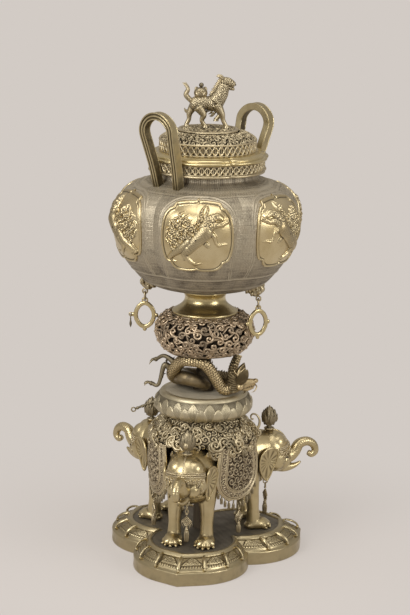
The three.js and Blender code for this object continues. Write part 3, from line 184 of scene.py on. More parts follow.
def grid_faces(rows: int, columns: int, wrap_rows: bool = False, wrap_columns: bool = False) -> Array:
    """Return the quads of a grid of points, rows by columns."""
    i = np.arange(rows if wrap_rows else rows - 1)[:, None]
    j = np.arange(columns if wrap_columns else columns - 1)[None, :]
    i2, j2 = (i + 1) % rows, (j + 1) % columns
    corners = [i * columns + j, i * columns + j2, i2 * columns + j2, i2 * columns + j]
    return np.stack([c.ravel() for c in corners], axis=1)


def grid_normals(base: Array, wrap_rows: bool = False, wrap_columns: bool = False) -> Array:
    """Return unit normals of a grid of points, from its neighbours."""
    def difference(axis: int, wrap: bool) -> Array:
        """Return central differences along one axis."""
        if wrap:
            return np.roll(base, -1, axis) - np.roll(base, 1, axis)
        return np.gradient(base, axis=axis)

    return unit(np.cross(difference(1, wrap_columns), difference(0, wrap_rows)))


def fan(first: int, tip: int, count: int, flip: bool = False) -> Array:
    """Return triangles between a ring of points and a tip."""
    j = np.arange(count)
    k = (j + 1) % count
    one, two = (k, j) if flip else (j, k)
    return np.stack([first + one, first + two, np.full(count, tip)], axis=1)


class Shape:
    """Closed or open mesh data in millimetres, with a value for each point that sets polished edges, recess
    patina and painted shade.
    """

    def __init__(self) -> None:
        """Start empty."""
        self.points: list[Array] = []
        self.faces: list[Array] = []
        self.wear_and_shade: list[Array] = []
        self.count = 0

    def add(self, points: Array, faces: Iterable[Array], wear_and_shade: Array | float = 0.5) -> "Shape":
        """Add points and their faces.

        Args:
            points: Points, with x, y and z along the last axis.
            faces: Arrays of faces that index these points, each of one corner count.
            wear_and_shade: 0 in a dark recess, also where shade is painted, to 1 on a polished edge.

        Returns:
            This shape.
        """
        flat = np.asarray(points, float).reshape(-1, 3)
        self.points.append(flat)
        self.faces.extend(np.asarray(f, int) + self.count for f in faces)
        self.wear_and_shade.append(np.broadcast_to(np.asarray(wear_and_shade, float).ravel(), (len(flat),)))
        self.count += len(flat)
        return self

    def merge(self, other: "Shape") -> "Shape":
        """Add another shape's data and return this one."""
        return self.add(other.co(), other.faces, np.concatenate(other.wear_and_shade))

    def co(self) -> Array:
        """Return all points as one array."""
        return np.concatenate(self.points)

    def placed(self, az: float = 0.0, move: Point = (0, 0, 0), scale: Point = (1, 1, 1)) -> "Shape":
        """Return a copy that is scaled, turned about Z and moved.

        Args:
            az: Turn about Z in degrees.
            move: How far it is moved after the turn.
            scale: Scale along X, Y and Z, before the turn.

        Returns:
            The placed copy.
        """
        c, s = math.cos(rad(az)), math.sin(rad(az))
        turn = np.array([[c, -s, 0], [s, c, 0], [0, 0, 1]])
        faces = [f[:, ::-1] for f in self.faces] if np.prod(scale) < 0 else self.faces
        return Shape().add((self.co() * np.asarray(scale)) @ turn.T + np.asarray(move), faces,
                           np.concatenate(self.wear_and_shade))

    def grid(self, base: Array, height: Array | float = 0.0, wear_and_shade: Array | float = 0.5,
             wrap: bool = True, wrap_rows: bool = False, flip: bool = False) -> "Shape":
        """Add a grid of points raised along its normals.

        Args:
            base: Points, rows by columns by 3.
            height: How far each point is raised.
            wear_and_shade: How bright the metal is at each point, from rubbing, patina and painted shade.
            wrap: Whether the last column joins the first.
            wrap_rows: Whether the last row joins the first.
            flip: Whether the columns run backwards, so that the other side faces out.

        Returns:
            This shape.
        """
        size = base.shape[:2]
        height, wear_and_shade = np.broadcast_to(height, size), np.broadcast_to(wear_and_shade, size)
        if flip:
            base, height, wear_and_shade = base[:, ::-1], height[:, ::-1], wear_and_shade[:, ::-1]
        points = base + grid_normals(base, wrap_rows, wrap) * height[..., None]
        return self.add(points, [grid_faces(*size, wrap_rows, wrap)], wear_and_shade)

    def lathe(self, profile: Iterable[Point], sides: int = 160, wear_and_shade: float = 0.6) -> "Shape":
        """Add a surface of revolution round Z.

        Args:
            profile: Pairs of radius and height, from bottom to top on the outside.
            sides: How many steps round the axis.
            wear_and_shade: How bright the metal is, from rubbing, patina and painted shade.

        Returns:
            This shape.
        """
        p = np.asarray(list(profile), float)
        return self.grid(polar(p[:, :1], turns(sides)[None, :], p[:, 1:2]), 0.0, wear_and_shade)

    def tube(self, points: Iterable[Point], radii: Sequence[float], sides: int = 10, steps: int = 24,
             closed: bool = False, wear_and_shade: float = 0.6, flat: float = 1.0,
             up: Point | None = None) -> "Shape":
        """Add a closed round bar along a smooth curve.

        Args:
            points: Points that the bar goes through.
            radii: Radii spread evenly along it.
            sides: Corners of its section.
            steps: Rings along it.
            closed: Whether it joins itself.
            wear_and_shade: How bright the metal is, from rubbing, patina and painted shade.
            flat: Share of the radius across the section's second direction.
            up: Direction that the section's second direction keeps to, if given.

        Returns:
            This shape.
        """
        path = spline(points, steps, closed)
        n = len(path)
        tangent = unit(np.roll(path, -1, 0) - np.roll(path, 1, 0) if closed else np.gradient(path, axis=0))
        if up is None:
            side = np.zeros_like(path)
            start = np.cross(tangent[0], [0.31, 0.17, 0.93])
            side[0] = start / np.linalg.norm(start)
            for i in range(1, n):
                s = side[i - 1] - tangent[i] * np.dot(side[i - 1], tangent[i])
                side[i] = s / max(np.linalg.norm(s), TINY)
        else:
            side = unit(np.cross(tangent, np.asarray(up, float)))
        other = np.cross(tangent, side)
        r = along(radii, n)[:, None, None]
        a = turns(sides, math.tau)[None, :, None]
        ring = path[:, None] + r * (np.cos(a) * side[:, None] + flat * np.sin(a) * other[:, None])
        if closed:
            return self.add(ring, [grid_faces(n, sides, True, True)], wear_and_shade)
        ends = np.stack([path[0] - 0.35 * r[0, 0] * tangent[0], path[-1] + 0.35 * r[-1, 0] * tangent[-1]])
        size = n * sides
        caps = [fan(0, size, sides, True), fan(size - sides, size + 1, sides)]
        every = np.concatenate([ring.reshape(-1, 3), ends])
        return self.add(every, [grid_faces(n, sides, False, True), *caps], wear_and_shade)

    def ball(self, centre: Point, half: Point | float, sides: int = 20, wear_and_shade: float = 0.6,
             tilt: Point = (0, 0, 0)) -> "Shape":
        """Add an ellipsoid.

        Args:
            centre: Its middle.
            half: Half sizes along X, Y and Z, or one radius.
            sides: Steps round it.
            wear_and_shade: How bright the metal is, from rubbing, patina and painted shade.
            tilt: Turns in degrees about X, Y and Z, in that order.

        Returns:
            This shape.
        """
        half = np.broadcast_to(np.asarray(half, float), (3,))
        rows = max(sides // 2, 4)
        lat = np.linspace(-90, 90, rows + 1)[1:-1, None]
        body = polar(np.cos(rad(lat)), turns(sides)[None, :], np.sin(rad(lat))).reshape(-1, 3)
        every = np.concatenate([body, [[0, 0, -1], [0, 0, 1]]]) * half
        for axis, turn in enumerate(tilt):
            if turn:
                c, s = math.cos(rad(turn)), math.sin(rad(turn))
                a, b = (axis + 1) % 3, (axis + 2) % 3
                old = every.copy()
                every[:, a] = c * old[:, a] - s * old[:, b]
                every[:, b] = s * old[:, a] + c * old[:, b]
        size = len(body)
        caps = [fan(0, size, sides, True), fan(size - sides, size + 1, sides)]
        faces = [grid_faces(rows - 1, sides, False, True), *caps]
        return self.add(every + np.asarray(centre, float), faces, wear_and_shade)

    def mesh(self, name: str) -> bpy.types.Mesh:
        """Return the data as a Blender mesh in metres, smooth and with its values for rubbing, patina and
        painted shade.
        """
        mesh = bpy.data.meshes.new(name)
        loops = np.concatenate([f.ravel() for f in self.faces]).astype(np.int32)
        sizes = np.concatenate([np.full(len(f), f.shape[1]) for f in self.faces])
        starts = np.concatenate([[0], np.cumsum(sizes)[:-1]]).astype(np.int32)
        mesh.vertices.add(self.count)
        mesh.vertices.foreach_set("co", (self.co() * MM).astype(np.float32).ravel())
        mesh.loops.add(len(loops))
        mesh.loops.foreach_set("vertex_index", loops)
        mesh.polygons.add(len(sizes))
        mesh.polygons.foreach_set("loop_start", starts)
        mesh.polygons.foreach_set("use_smooth", np.ones(len(sizes), dtype=bool))
        mesh.update(calc_edges=True)
        wear_and_shade = mesh.attributes.new("wear_and_shade", "FLOAT", "POINT")
        wear_and_shade.data.foreach_set("value", np.concatenate(self.wear_and_shade).astype(np.float32))
        return mesh

    def worn(self, rounds: int = 5, gain: float = 0.9, level: float = 0.55) -> "Shape":
        """Set the wear from how far each point stands out of its smoothed neighbourhood.

        Args:
            rounds: How many times the neighbourhood is smoothed.
            gain: Wear for each millimetre of standing out.
            level: Wear of a flat place.

        Returns:
            This shape.
        """
        mesh = self.mesh("wear_probe")
        edges = np.empty(2 * len(mesh.edges), dtype=np.int32)
        mesh.edges.foreach_get("vertices", edges)
        normals = np.empty(3 * len(mesh.vertices), dtype=np.float32)
        mesh.vertex_normals.foreach_get("vector", normals)
        bpy.data.meshes.remove(mesh)
        a, b = edges[::2], edges[1::2]
        points = self.co()
        degree = np.maximum(np.bincount(a, minlength=self.count) + np.bincount(b, minlength=self.count), 1)
        soft = points.copy()
        for _ in range(rounds):
            soft = np.stack([(np.bincount(a, soft[b, k], self.count)
                              + np.bincount(b, soft[a, k], self.count)) / degree for k in range(3)], axis=1)
        stand = np.einsum("ij,ij->i", points - soft, normals.reshape(-1, 3))
        self.wear_and_shade = [np.clip(level + gain * stand, 0, 1)]
        return self

    def fused(self, voxel: float, rounds: int = 6, gain: float = 0.9) -> "Shape":
        """Return one skin round all the bodies, with its joints softened.

        Args:
            voxel: Size of the remeshing grid.
            rounds: Passes of smoothing.
            gain: Wear for each millimetre of standing out.

        Returns:
            The new shape, with its wear set.
        """
        source = bpy.data.objects.new("fuse", self.mesh("fuse"))
        bpy.context.scene.collection.objects.link(source)
        remesh = source.modifiers.new("skin", "REMESH")
        remesh.mode = "VOXEL"
        remesh.voxel_size = voxel * MM
        soften = source.modifiers.new("soften", "SMOOTH")
        soften.iterations = rounds
        made = bpy.data.meshes.new_from_object(source.evaluated_get(bpy.context.evaluated_depsgraph_get()))
        points = np.empty(3 * len(made.vertices), dtype=np.float32)
        made.vertices.foreach_get("co", points)
        corners = np.empty(len(made.loops), dtype=np.int32)
        made.loops.foreach_get("vertex_index", corners)
        shape = Shape().add(points.reshape(-1, 3) / MM, [corners.reshape(-1, 4)])
        old = source.data
        bpy.data.objects.remove(source)
        bpy.data.meshes.remove(old)
        bpy.data.meshes.remove(made)
        return shape.worn(gain=gain)


# Patterns: each gives a value at flat coordinates in millimetres


def cloud_scrolls(u: Array, v: Array, cell: float, around: float, pitch: float,
                  seed: int = 1) -> tuple[Array, Array]:
    """Return ridges that curl round scattered centres, and how deep each place lies in its cell.

    Args:
        u: Distance round the piece, which repeats after around.
        v: Distance across it.
        cell: Spacing of the centres.
        around: Length after which the pattern repeats along u.
        pitch: Distance between two ridges.
        seed: Start of the scatter.

    Returns:
        Ridge height from 0 to 1, and the distance from each place to the border of its cell.
    """
    columns = max(int(round(around / cell)), 3)
    width = around / columns
    rng = np.random.default_rng(seed)
    rows = int(np.ptp(v) / cell) + 4
    low = float(v.min())
    shift = rng.uniform(-0.28, 0.28, (rows, columns, 2))
    hand = rng.choice([-1.0, 1.0], (rows, columns))
    phase = rng.uniform(0, math.tau, (rows, columns))
    ci, cj = np.floor((v - low) / cell).astype(int), np.floor(u / width).astype(int)
    best = np.full(u.shape, 1e9)
    second = np.full(u.shape, 1e9)
    ridge = np.zeros(u.shape)
    for di in (-1, 0, 1):
        for dj in (-1, 0, 1):
            i, j = ci + di, cj + dj
            row, column = np.clip(i + 1, 0, rows - 1), j % columns
            x = (j + 0.5 + 0.5 * (i % 2) - 0.25 + shift[row, column, 0]) * width
            y = low + (i + 0.5 + shift[row, column, 1]) * cell
            dx, dy = u - x, v - y
            distance = np.hypot(dx, dy)
            turn = hand[row, column] * np.arctan2(dy, dx) + phase[row, column]
            wave = 0.5 + 0.5 * np.cos(math.tau * distance / pitch - turn)
            nearer = distance < best
            second = np.where(nearer, best, np.minimum(second, distance))
            ridge = np.where(nearer, wave, ridge)
            best = np.where(nearer, distance, best)
    return ridge, (second - best) / 2


def square_fret(u: Array, v: Array, cell: float, winds: float = 2.0) -> Array:
    """Return square spirals, one in each cell, as heights from 0 to 1."""
    i, j = np.floor(v / cell), np.floor(u / cell)
    x = (u / cell - j) * 2 - 1
    y = (v / cell - i) * 2 - 1
    x = np.where((i + j) % 2 == 0, x, -x)
    reach = np.maximum(abs(x), abs(y))
    side = np.where(abs(x) >= abs(y), np.where(x > 0, 0.0, 0.5), np.where(y > 0, 0.25, 0.75))
    t = reach * winds - side
    return smooth_step(0.28, 0.5, abs((t - np.floor(t)) * 2 - 1))


def lattice(u: Array, v: Array, pitch: float, high: float) -> Array:
    """Return a band of crossed bars between posts, as heights from 0 to 1."""
    x = (u / pitch - np.floor(u / pitch)) * 2 - 1
    y = v / high * 2
    post = (1 - abs(x)) * pitch / 2
    cross = abs(abs(x) * 1.05 - abs(y)) * min(pitch, high) / 2 * 0.75
    rail = (1 - abs(y)) * high / 2
    knot = abs(np.hypot(x * pitch / 2, y * high / 2) - 2.6)
    return np.maximum.reduce([bead(cross, 1.45), 0.85 * bead(post, 0.9), 0.9 * bead(rail, 1.3),
                              0.6 * bead(knot, 0.6)])


def beside(u: Array, v: Array, one: Point, two: Point) -> tuple[Array, Array, Array]:
    """Return where on a straight line each place is nearest to it, and the two offsets from there."""
    (x, y), dx, dy = one, two[0] - one[0], two[1] - one[1]
    t = np.clip(((u - x) * dx + (v - y) * dy) / max(dx * dx + dy * dy, TINY), 0, 1)
    return t, u - x - t * dx, v - y - t * dy


def distance_to(u: Array, v: Array, line: Array) -> Array:
    """Return the distance from each place to an open line of points."""
    best = np.full(u.shape, 1e9)
    for one, two in zip(line[:-1], line[1:]):
        _, du, dv = beside(u, v, one, two)
        best = np.minimum(best, np.hypot(du, dv))
    return best


def bead(distance: Array, half: float) -> Array:
    """Return a round ridge of a half width, as heights from 0 to 1."""
    return np.sqrt(np.clip(1 - (distance / half) ** 2, 0, 1))


def limb(u: Array, v: Array, points: Iterable[Point], radii: Sequence[float],
         steps: int = 14) -> Array:
    """Return the height of a tapered round limb that lies along a curve on the plane."""
    line = spline(points, steps)
    size = along(radii, len(line))
    high = np.zeros(u.shape)
    for k in range(len(line) - 1):
        t, du, dv = beside(u, v, line[k], line[k + 1])
        r = size[k] + t * (size[k + 1] - size[k])
        high = np.maximum(high, np.sqrt(np.clip(r**2 - du**2 - dv**2, 0, None)))
    return high


def heap(u: Array, v: Array, rows: Iterable[tuple]) -> Array:
    """Return the height of several limbs on one plane, each given as in limb."""
    return np.maximum.reduce([limb(u, v, *row) for row in rows])


# Finishes


class Graph:
    """Shader nodes of one material or world."""

    def __init__(self, owner: bpy.types.Material | bpy.types.World) -> None:
        """Turn the owner's nodes on.

        Args:
            owner: The material or world.
        """
        owner.use_nodes = True
        self.nodes, self.links = owner.node_tree.nodes, owner.node_tree.links

    def feed(self, node: bpy.types.Node, inputs: dict[str | int, object]) -> bpy.types.Node:
        """Link a node's inputs to sockets or set them to values, and return the node."""
        for key, value in inputs.items():
            if isinstance(value, Socket):
                self.links.new(value, node.inputs[key])
            else:
                node.inputs[key].default_value = value
        return node

    def add(self, kind: str, output: str, inputs: dict[str | int, object] | None = None,
            **settings: object) -> Socket:
        """Add a node.

        Args:
            kind: Its type, without the prefix that shader nodes share.
            output: Name of the output that is wanted.
            inputs: Sockets or values for its inputs.
            settings: Values for its settings.

        Returns:
            The output.
        """
        node = self.nodes.new(f"ShaderNode{kind}")
        for name, value in settings.items():
            setattr(node, name, value)
        return self.feed(node, inputs or {}).outputs[output]

    def remap(self, source: Socket, spans: Sequence[float], **settings: object) -> Socket:
        """Return a socket whose value runs between two spans, given as from, from, to and to."""
        names = ("From Min", "From Max", "To Min", "To Max")
        return self.add("MapRange", "Result", {"Value": source, **dict(zip(names, spans))}, **settings)

    def math(self, operation: str, one: Socket, two: Socket) -> Socket:
        """Return a socket that combines two sockets."""
        return self.add("Math", "Value", {0: one, 1: two}, operation=operation)


class Sheen(Enum):
    """How rough the bright places of a finish are."""

    POLISHED = 0.3
    RUBBED = 0.34
    CAST = 0.42
    DULL = 0.55


@dataclass(frozen=True)
class Finish:
    """A metal finish: a bright metal that darkens in its recesses and where shade is painted on it."""

    name: str
    slot: str
    bright: Triple
    dark: Triple
    tint: Triple
    sheen: Sheen
    low: float = 0.3
    high: float = 0.62
    mottle: float = 0.25
    mottle_scale: float = 70.0
    grain_scale: float = 900.0
    grain: float = 0.05
    dull: float = 0.6
    bare: float = 1.0

    def material(self) -> bpy.types.Material:
        """Return the node material, made once."""
        made = bpy.data.materials.get(self.name)
        if made:
            return made
        made = bpy.data.materials.new(self.name)
        graph = Graph(made)
        place = graph.add("TexCoord", "Object")
        wear_and_shade = graph.add("Attribute", "Fac", attribute_name="wear_and_shade")
        clouds, grain = (graph.add("TexNoise", "Fac", {"Vector": place, "Scale": scale, "Detail": detail})
                         for scale, detail in ((self.mottle_scale, 5.0), (self.grain_scale, 3.0)))
        uneven = graph.remap(clouds, (0.2, 0.8, -self.mottle, self.mottle))
        # Low values darken the metal: patina in recesses, and painted shade in sunk openings and the handles'
        # channels.
        rubbed_and_shaded = graph.remap(graph.math("ADD", wear_and_shade, uneven), (self.low, self.high, 0, 1))
        patches = graph.remap(clouds, (0.38, 0.72, 0, 1))
        mixed = {"Factor": patches, "A": (*self.bright, 1), "B": (*self.tint, 1)}
        metal = graph.add("Mix", "Result", mixed, data_type="RGBA")
        mixed = {"Factor": rubbed_and_shaded, "A": (*self.dark, 1), "B": metal}
        colour = graph.add("Mix", "Result", mixed, data_type="RGBA")
        rough = graph.remap(rubbed_and_shaded, (0, 1, self.dull, self.sheen.value))
        gloss = graph.math("ADD", rough, graph.remap(grain, (0.2, 0.8, -0.05, 0.05)))
        bump = graph.add("Bump", "Normal", {"Strength": self.grain, "Distance": 0.0006, "Height": grain})
        graph.feed(graph.nodes["Principled BSDF"], {"Base Color": colour, "Roughness": gloss,
                                                    "Metallic": self.bare, "Normal": bump})
        return made


POLISHED = Finish("polished_brass", "polished_bronze", (0.60, 0.50, 0.28), (0.20, 0.155, 0.08),
                  (0.53, 0.43, 0.22), Sheen.POLISHED, 0.2, 0.5, 0.08)
# Its dark colour serves for the handles' groove and for the painted shade in their channels.
RUBBED = Finish("rubbed_brass", "polished_bronze", (0.58, 0.49, 0.29), (0.15, 0.12, 0.07),
                (0.49, 0.40, 0.22), Sheen.RUBBED, 0.3, 0.58, 0.1)
# Its dark colour serves for patina in recesses and for the painted shade in the sunk openings of the lid's
# dome and frets.
CAST = Finish("cast_brass", "cast_bronze", (0.56, 0.47, 0.30), (0.11, 0.09, 0.06),
              (0.44, 0.37, 0.24), Sheen.CAST, 0.3, 0.66, 0.12)
GROUND = Finish("fretted_ground", "patina_bronze", (0.52, 0.455, 0.33), (0.12, 0.095, 0.065),
                (0.36, 0.305, 0.215), Sheen.CAST, 0.16, 0.72, 0.3, 42.0, 700.0, 0.12, 0.55, 0.62)
DISH = Finish("dish_patina", "patina_bronze", (0.62, 0.555, 0.42), (0.30, 0.26, 0.19),
              (0.46, 0.405, 0.30), Sheen.DULL, 0.2, 0.7, 0.25, 45.0, 500.0, 0.1, 0.6, 0.3)
BASE = Finish("base_brass", "polished_bronze", (0.50, 0.42, 0.25), (0.13, 0.10, 0.06),
              (0.38, 0.31, 0.18), Sheen.RUBBED, 0.28, 0.6, 0.16, 45.0)
HIDE = Finish("elephant_brass", "polished_bronze", (0.56, 0.465, 0.27), (0.17, 0.13, 0.07),
              (0.46, 0.37, 0.20), Sheen.RUBBED, 0.22, 0.56, 0.12, 40.0)
PLATE = Finish("platform_patina", "patina_bronze", (0.36, 0.32, 0.24), (0.17, 0.15, 0.12),
               (0.26, 0.235, 0.19), Sheen.DULL, 0.3, 0.9, 0.3, 30.0, 500.0, 0.2, 0.7)
CLOUD = Finish("cloud_gilt", "gilt_bronze", (0.56, 0.44, 0.30), (0.07, 0.055, 0.04),
               (0.46, 0.355, 0.24), Sheen.CAST, 0.3, 0.6, 0.1)
SCALE = Finish("dragon_gilt", "gilt_bronze", (0.60, 0.47, 0.27), (0.13, 0.10, 0.055),
               (0.52, 0.41, 0.23), Sheen.RUBBED, 0.34, 0.66, 0.1)
COIL = Finish("coil_brown", "gilt_bronze", (0.40, 0.30, 0.15), (0.10, 0.08, 0.055),
              (0.22, 0.185, 0.13), Sheen.RUBBED, 0.3, 0.6, 0.3, 45.0)
LOTUS = Finish("lotus_brass", "polished_bronze", (0.62, 0.54, 0.36), (0.17, 0.145, 0.10),
               (0.44, 0.385, 0.27), Sheen.CAST, 0.2, 0.62, 0.2, 60.0)
DARK = Finish("dark_bronze", "gilt_bronze", (0.44, 0.37, 0.23), (0.08, 0.065, 0.045),
              (0.32, 0.265, 0.17), Sheen.CAST, 0.36, 0.8, 0.15)
FIELD = Finish("panel_gilt", "polished_bronze", (0.66, 0.55, 0.33), (0.17, 0.14, 0.095),
               (0.50, 0.39, 0.20), Sheen.POLISHED, 0.3, 0.7, 0.06, 24.0)
CLOTH = Finish("cloth_brass", "cast_bronze", (0.60, 0.51, 0.33), (0.15, 0.115, 0.08),
               (0.47, 0.38, 0.25), Sheen.CAST, 0.22, 0.7, 0.14)
JEWEL = Finish("jewel_brass", "gilt_bronze", (0.56, 0.47, 0.30), (0.16, 0.13, 0.085),
               (0.46, 0.38, 0.24), Sheen.CAST, 0.2, 0.72, 0.1)
# Painted shade: this near-black finish colours the sheet inside the globe, which stands for the shade in its
# hollow.
SHADE_SHEET = Finish("painted_shade_inside", "gilt_bronze", (0.16, 0.125, 0.09), (0.05, 0.04, 0.03),
              (0.10, 0.08, 0.06), Sheen.DULL, 0.1, 0.9, 0.3, 40.0)
IRON = Finish("plain_iron", "iron_fastener", (0.26, 0.25, 0.23), (0.08, 0.075, 0.07),
              (0.2, 0.19, 0.17), Sheen.DULL, 0.2, 0.6, 0.2)


def put(name: str, shape: Shape, finish: Finish, body: str = "burner",
        nodes: Sequence[str] = ()) -> bpy.types.Object:
    """Make a piece, let it ride on a body and stand for nodes.

    Args:
        name: The piece's name.
        shape: Its mesh data.
        finish: Its metal finish.
        body: The body that it moves with.
        nodes: Frame nodes that it stands for.

    Returns:
        The new object.
    """
    mesh = shape.mesh(name)
    mesh.materials.append(finish.material())
    made = bpy.data.objects.new(name, mesh)
    bpy.context.scene.collection.objects.link(made)
    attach(made, body)
    if nodes:
        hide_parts(*nodes)
    LOG.info("%s: %d faces", name, len(mesh.polygons))
    return made


@dataclass
class Base:
    """Trefoil base: polished rim, sloping band with petals and straps, and dark platform."""

    around: int = 1320
    rim: Triple = (90.7, 111.8, 9.0)
    band_foot: Triple = (88.0, 103.0, 8.0)
    band_head: Triple = (80.0, 88.0, 6.0)
    moulding: Triple = (79.0, 84.0, 5.5)
    platform: Triple = (78.0, 80.0, 5.0)
    straps: int = 7
    strap_swing: float = 81.0

    def outline(self, outline: Triple, z: float, grow: float = 0.0) -> Array:
        """Return one turn of the trefoil outline at a height, grown by a margin."""
        offset, radius, tip = outline
        third = self.around // 3
        swing = np.tile(np.arange(third) / third * LOBE_STEP - LOBE_STEP / 2, 3)
        lobe = np.repeat(np.arange(3), third) * LOBE_STEP
        a = rad(swing)
        r = radius + grow
        reach = offset * np.cos(a) + np.sqrt(r**2 - (offset * np.sin(a)) ** 2)
        reach = reach + tip * np.clip(1 - abs(swing) / 12, 0, None) ** 2
        return polar(reach, lobe + swing, z)

    def slope(self, t: float) -> Triple:
        """Return the sloping band's outline at a share of its rise."""
        return tuple(a + (b - a) * t for a, b in zip(self.band_foot, self.band_head))

    def rings(self, groups: Iterable[tuple[Triple, Iterable[Point]]]) -> Array:
        """Return turns of outlines, each at its own heights and margins."""
        return np.stack([self.outline(line, z, grow) for line, rows in groups for z, grow in rows])

    def band(self, shape: Shape) -> None:
        """Add the sloping band with its petals, scrolls and wave border."""
        rows = 46
        base = np.stack([self.outline(self.slope(t), 31 + 13 * t) for t in np.linspace(0, 1, rows)])
        v = np.linspace(0, 20, rows)[:, None]
        third = self.around // 3
        step = np.linalg.norm(np.diff(base[rows // 2, :third], axis=0), axis=1)
        distance = np.concatenate([[0], np.cumsum(step)])
        u = np.tile(distance, 3)[None, :] + 0 * v
        length = distance[-1]
        petals = self.straps + 1
        x = (u / length * petals) % 1 * 2 - 1
        y = v / 20
        half = np.sqrt(np.clip((0.96 - y) / 0.62, 0, 1)) * 0.8
        edge = (half - abs(x)) * length / petals / 2
        petal = smooth_step(0, 1.6, edge) * smooth_step(0.3, 0.38, y)
        rim = bead(edge - 0.9, 1.0) * smooth_step(0.3, 0.36, y)
        scroll, _ = cloud_scrolls(u, v + 0 * u, 5.5, length, 2.6, 4)
        waves = abs(np.sin(u * math.pi / 5.2)) * smooth_step(0.28, 0.2, y)
        height = 1.2 * petal + 0.7 * rim + 0.8 * scroll * petal * smooth_step(1.5, 2.5, edge)
        height = height + 1.1 * waves * smooth_step(0.0, 0.08, y) + 0.9 * bead(v - 6.3, 0.7)
        shape.grid(base, height)

    def strap(self, swing: float) -> Shape:
        """Return one bowed strap with a curled foot and head, at a swing round its lobe."""
        rows = ((-0.18, 1.0), (-0.1, 4.2), (0.12, 6.5), (0.5, 7.4), (0.85, 5.6), (1.05, 2.6), (1.1, 0.2))
        points = []
        for t, bow in rows:
            offset, radius, tip = self.slope(t)
            tip = tip * max(0.0, 1 - abs(swing) / 20)
            points.append(polar(radius + tip + 0.62 * bow, swing, 31 + 13 * t + 0.78 * bow) - [0, offset, 0])
        made = Shape().tube(points, [3.2, 3.4, 3.8, 4.0, 3.8, 3.4, 2.6], 12, 26, flat=0.55,
                            up=polar(1, swing, 0), wear_and_shade=0.75)
        made.ball(points[0], (3.6, 3.6, 3.0), 12, 0.7)
        return made.ball(points[-1], (3.0, 3.0, 2.6), 12, 0.7)

    def build(self) -> None:
        """Make the rim, the straps, the platform and the bottom plate."""
        shape, smooth = Shape(), Shape()
        rim = ((self.rim, ((0.0, -2.0), (1.2, -0.4), (3.0, 0.0), (8.0, -0.6), (20.0, -0.6), (23.0, 0.0),
                           (25.2, -0.5), (26.4, -2.0))),
               (self.band_foot, ((27.2, 2.6), (28.6, 2.2), (31.0, 0.6))))
        smooth.grid(self.rings(rim), 0.0, 0.56)
        self.band(shape)
        top = ((self.band_head, ((44.0, 0.3), (45.0, 1.6), (46.6, 1.8))),
               (self.moulding, ((48.4, 1.2), (50.4, 0.6), (51.0, -0.8))),
               (self.platform, ((51.0, 1.0), (50.2, -0.6), (47.6, -1.2))))
        smooth.grid(self.rings(top), 0.0, 0.56)
        for lobe in range(3):
            for swing in np.linspace(-self.strap_swing, self.strap_swing, self.straps):
                shape.merge(self.strap(float(swing)).placed(lobe * LOBE_STEP))
        put("base_casting", shape.worn(6, 1.0, 0.52).merge(smooth), BASE, nodes=["base_rim"])

        shares = np.concatenate([np.linspace(1, 0.97, 6), np.linspace(0.94, 0.06, 30)])
        edge = self.outline(self.platform, 48.0, -0.4)
        base = np.stack([edge * [s, s, 1] for s in shares])
        u, v = base[..., 0], base[..., 1]
        ripple = 0.25 * np.sin(u / 7) * np.sin(v / 9) + 0.12 * np.sin(u / 2.3 + v / 3.1)
        put("platform_plate", Shape().grid(base, -ripple, 0.5 + 0.3 * ripple), PLATE, nodes=["base_platform"])

        foot = self.outline((self.rim[0], self.rim[1] - 5, self.rim[2]), 0.0, -0.5)
        steps = ((0.03, 0.0), (0.5, 0.0), (0.985, 0.0), (1.0, 1.0), (1.0, 2.6), (0.6, 3.0), (0.03, 3.0))
        under = np.stack([foot * [s, s, 1] + [0, 0, lift] for s, lift in steps])
        put("bottom_plate", Shape().grid(under, 0.0, 0.4), PLATE, nodes=["base_bottom_plate"])


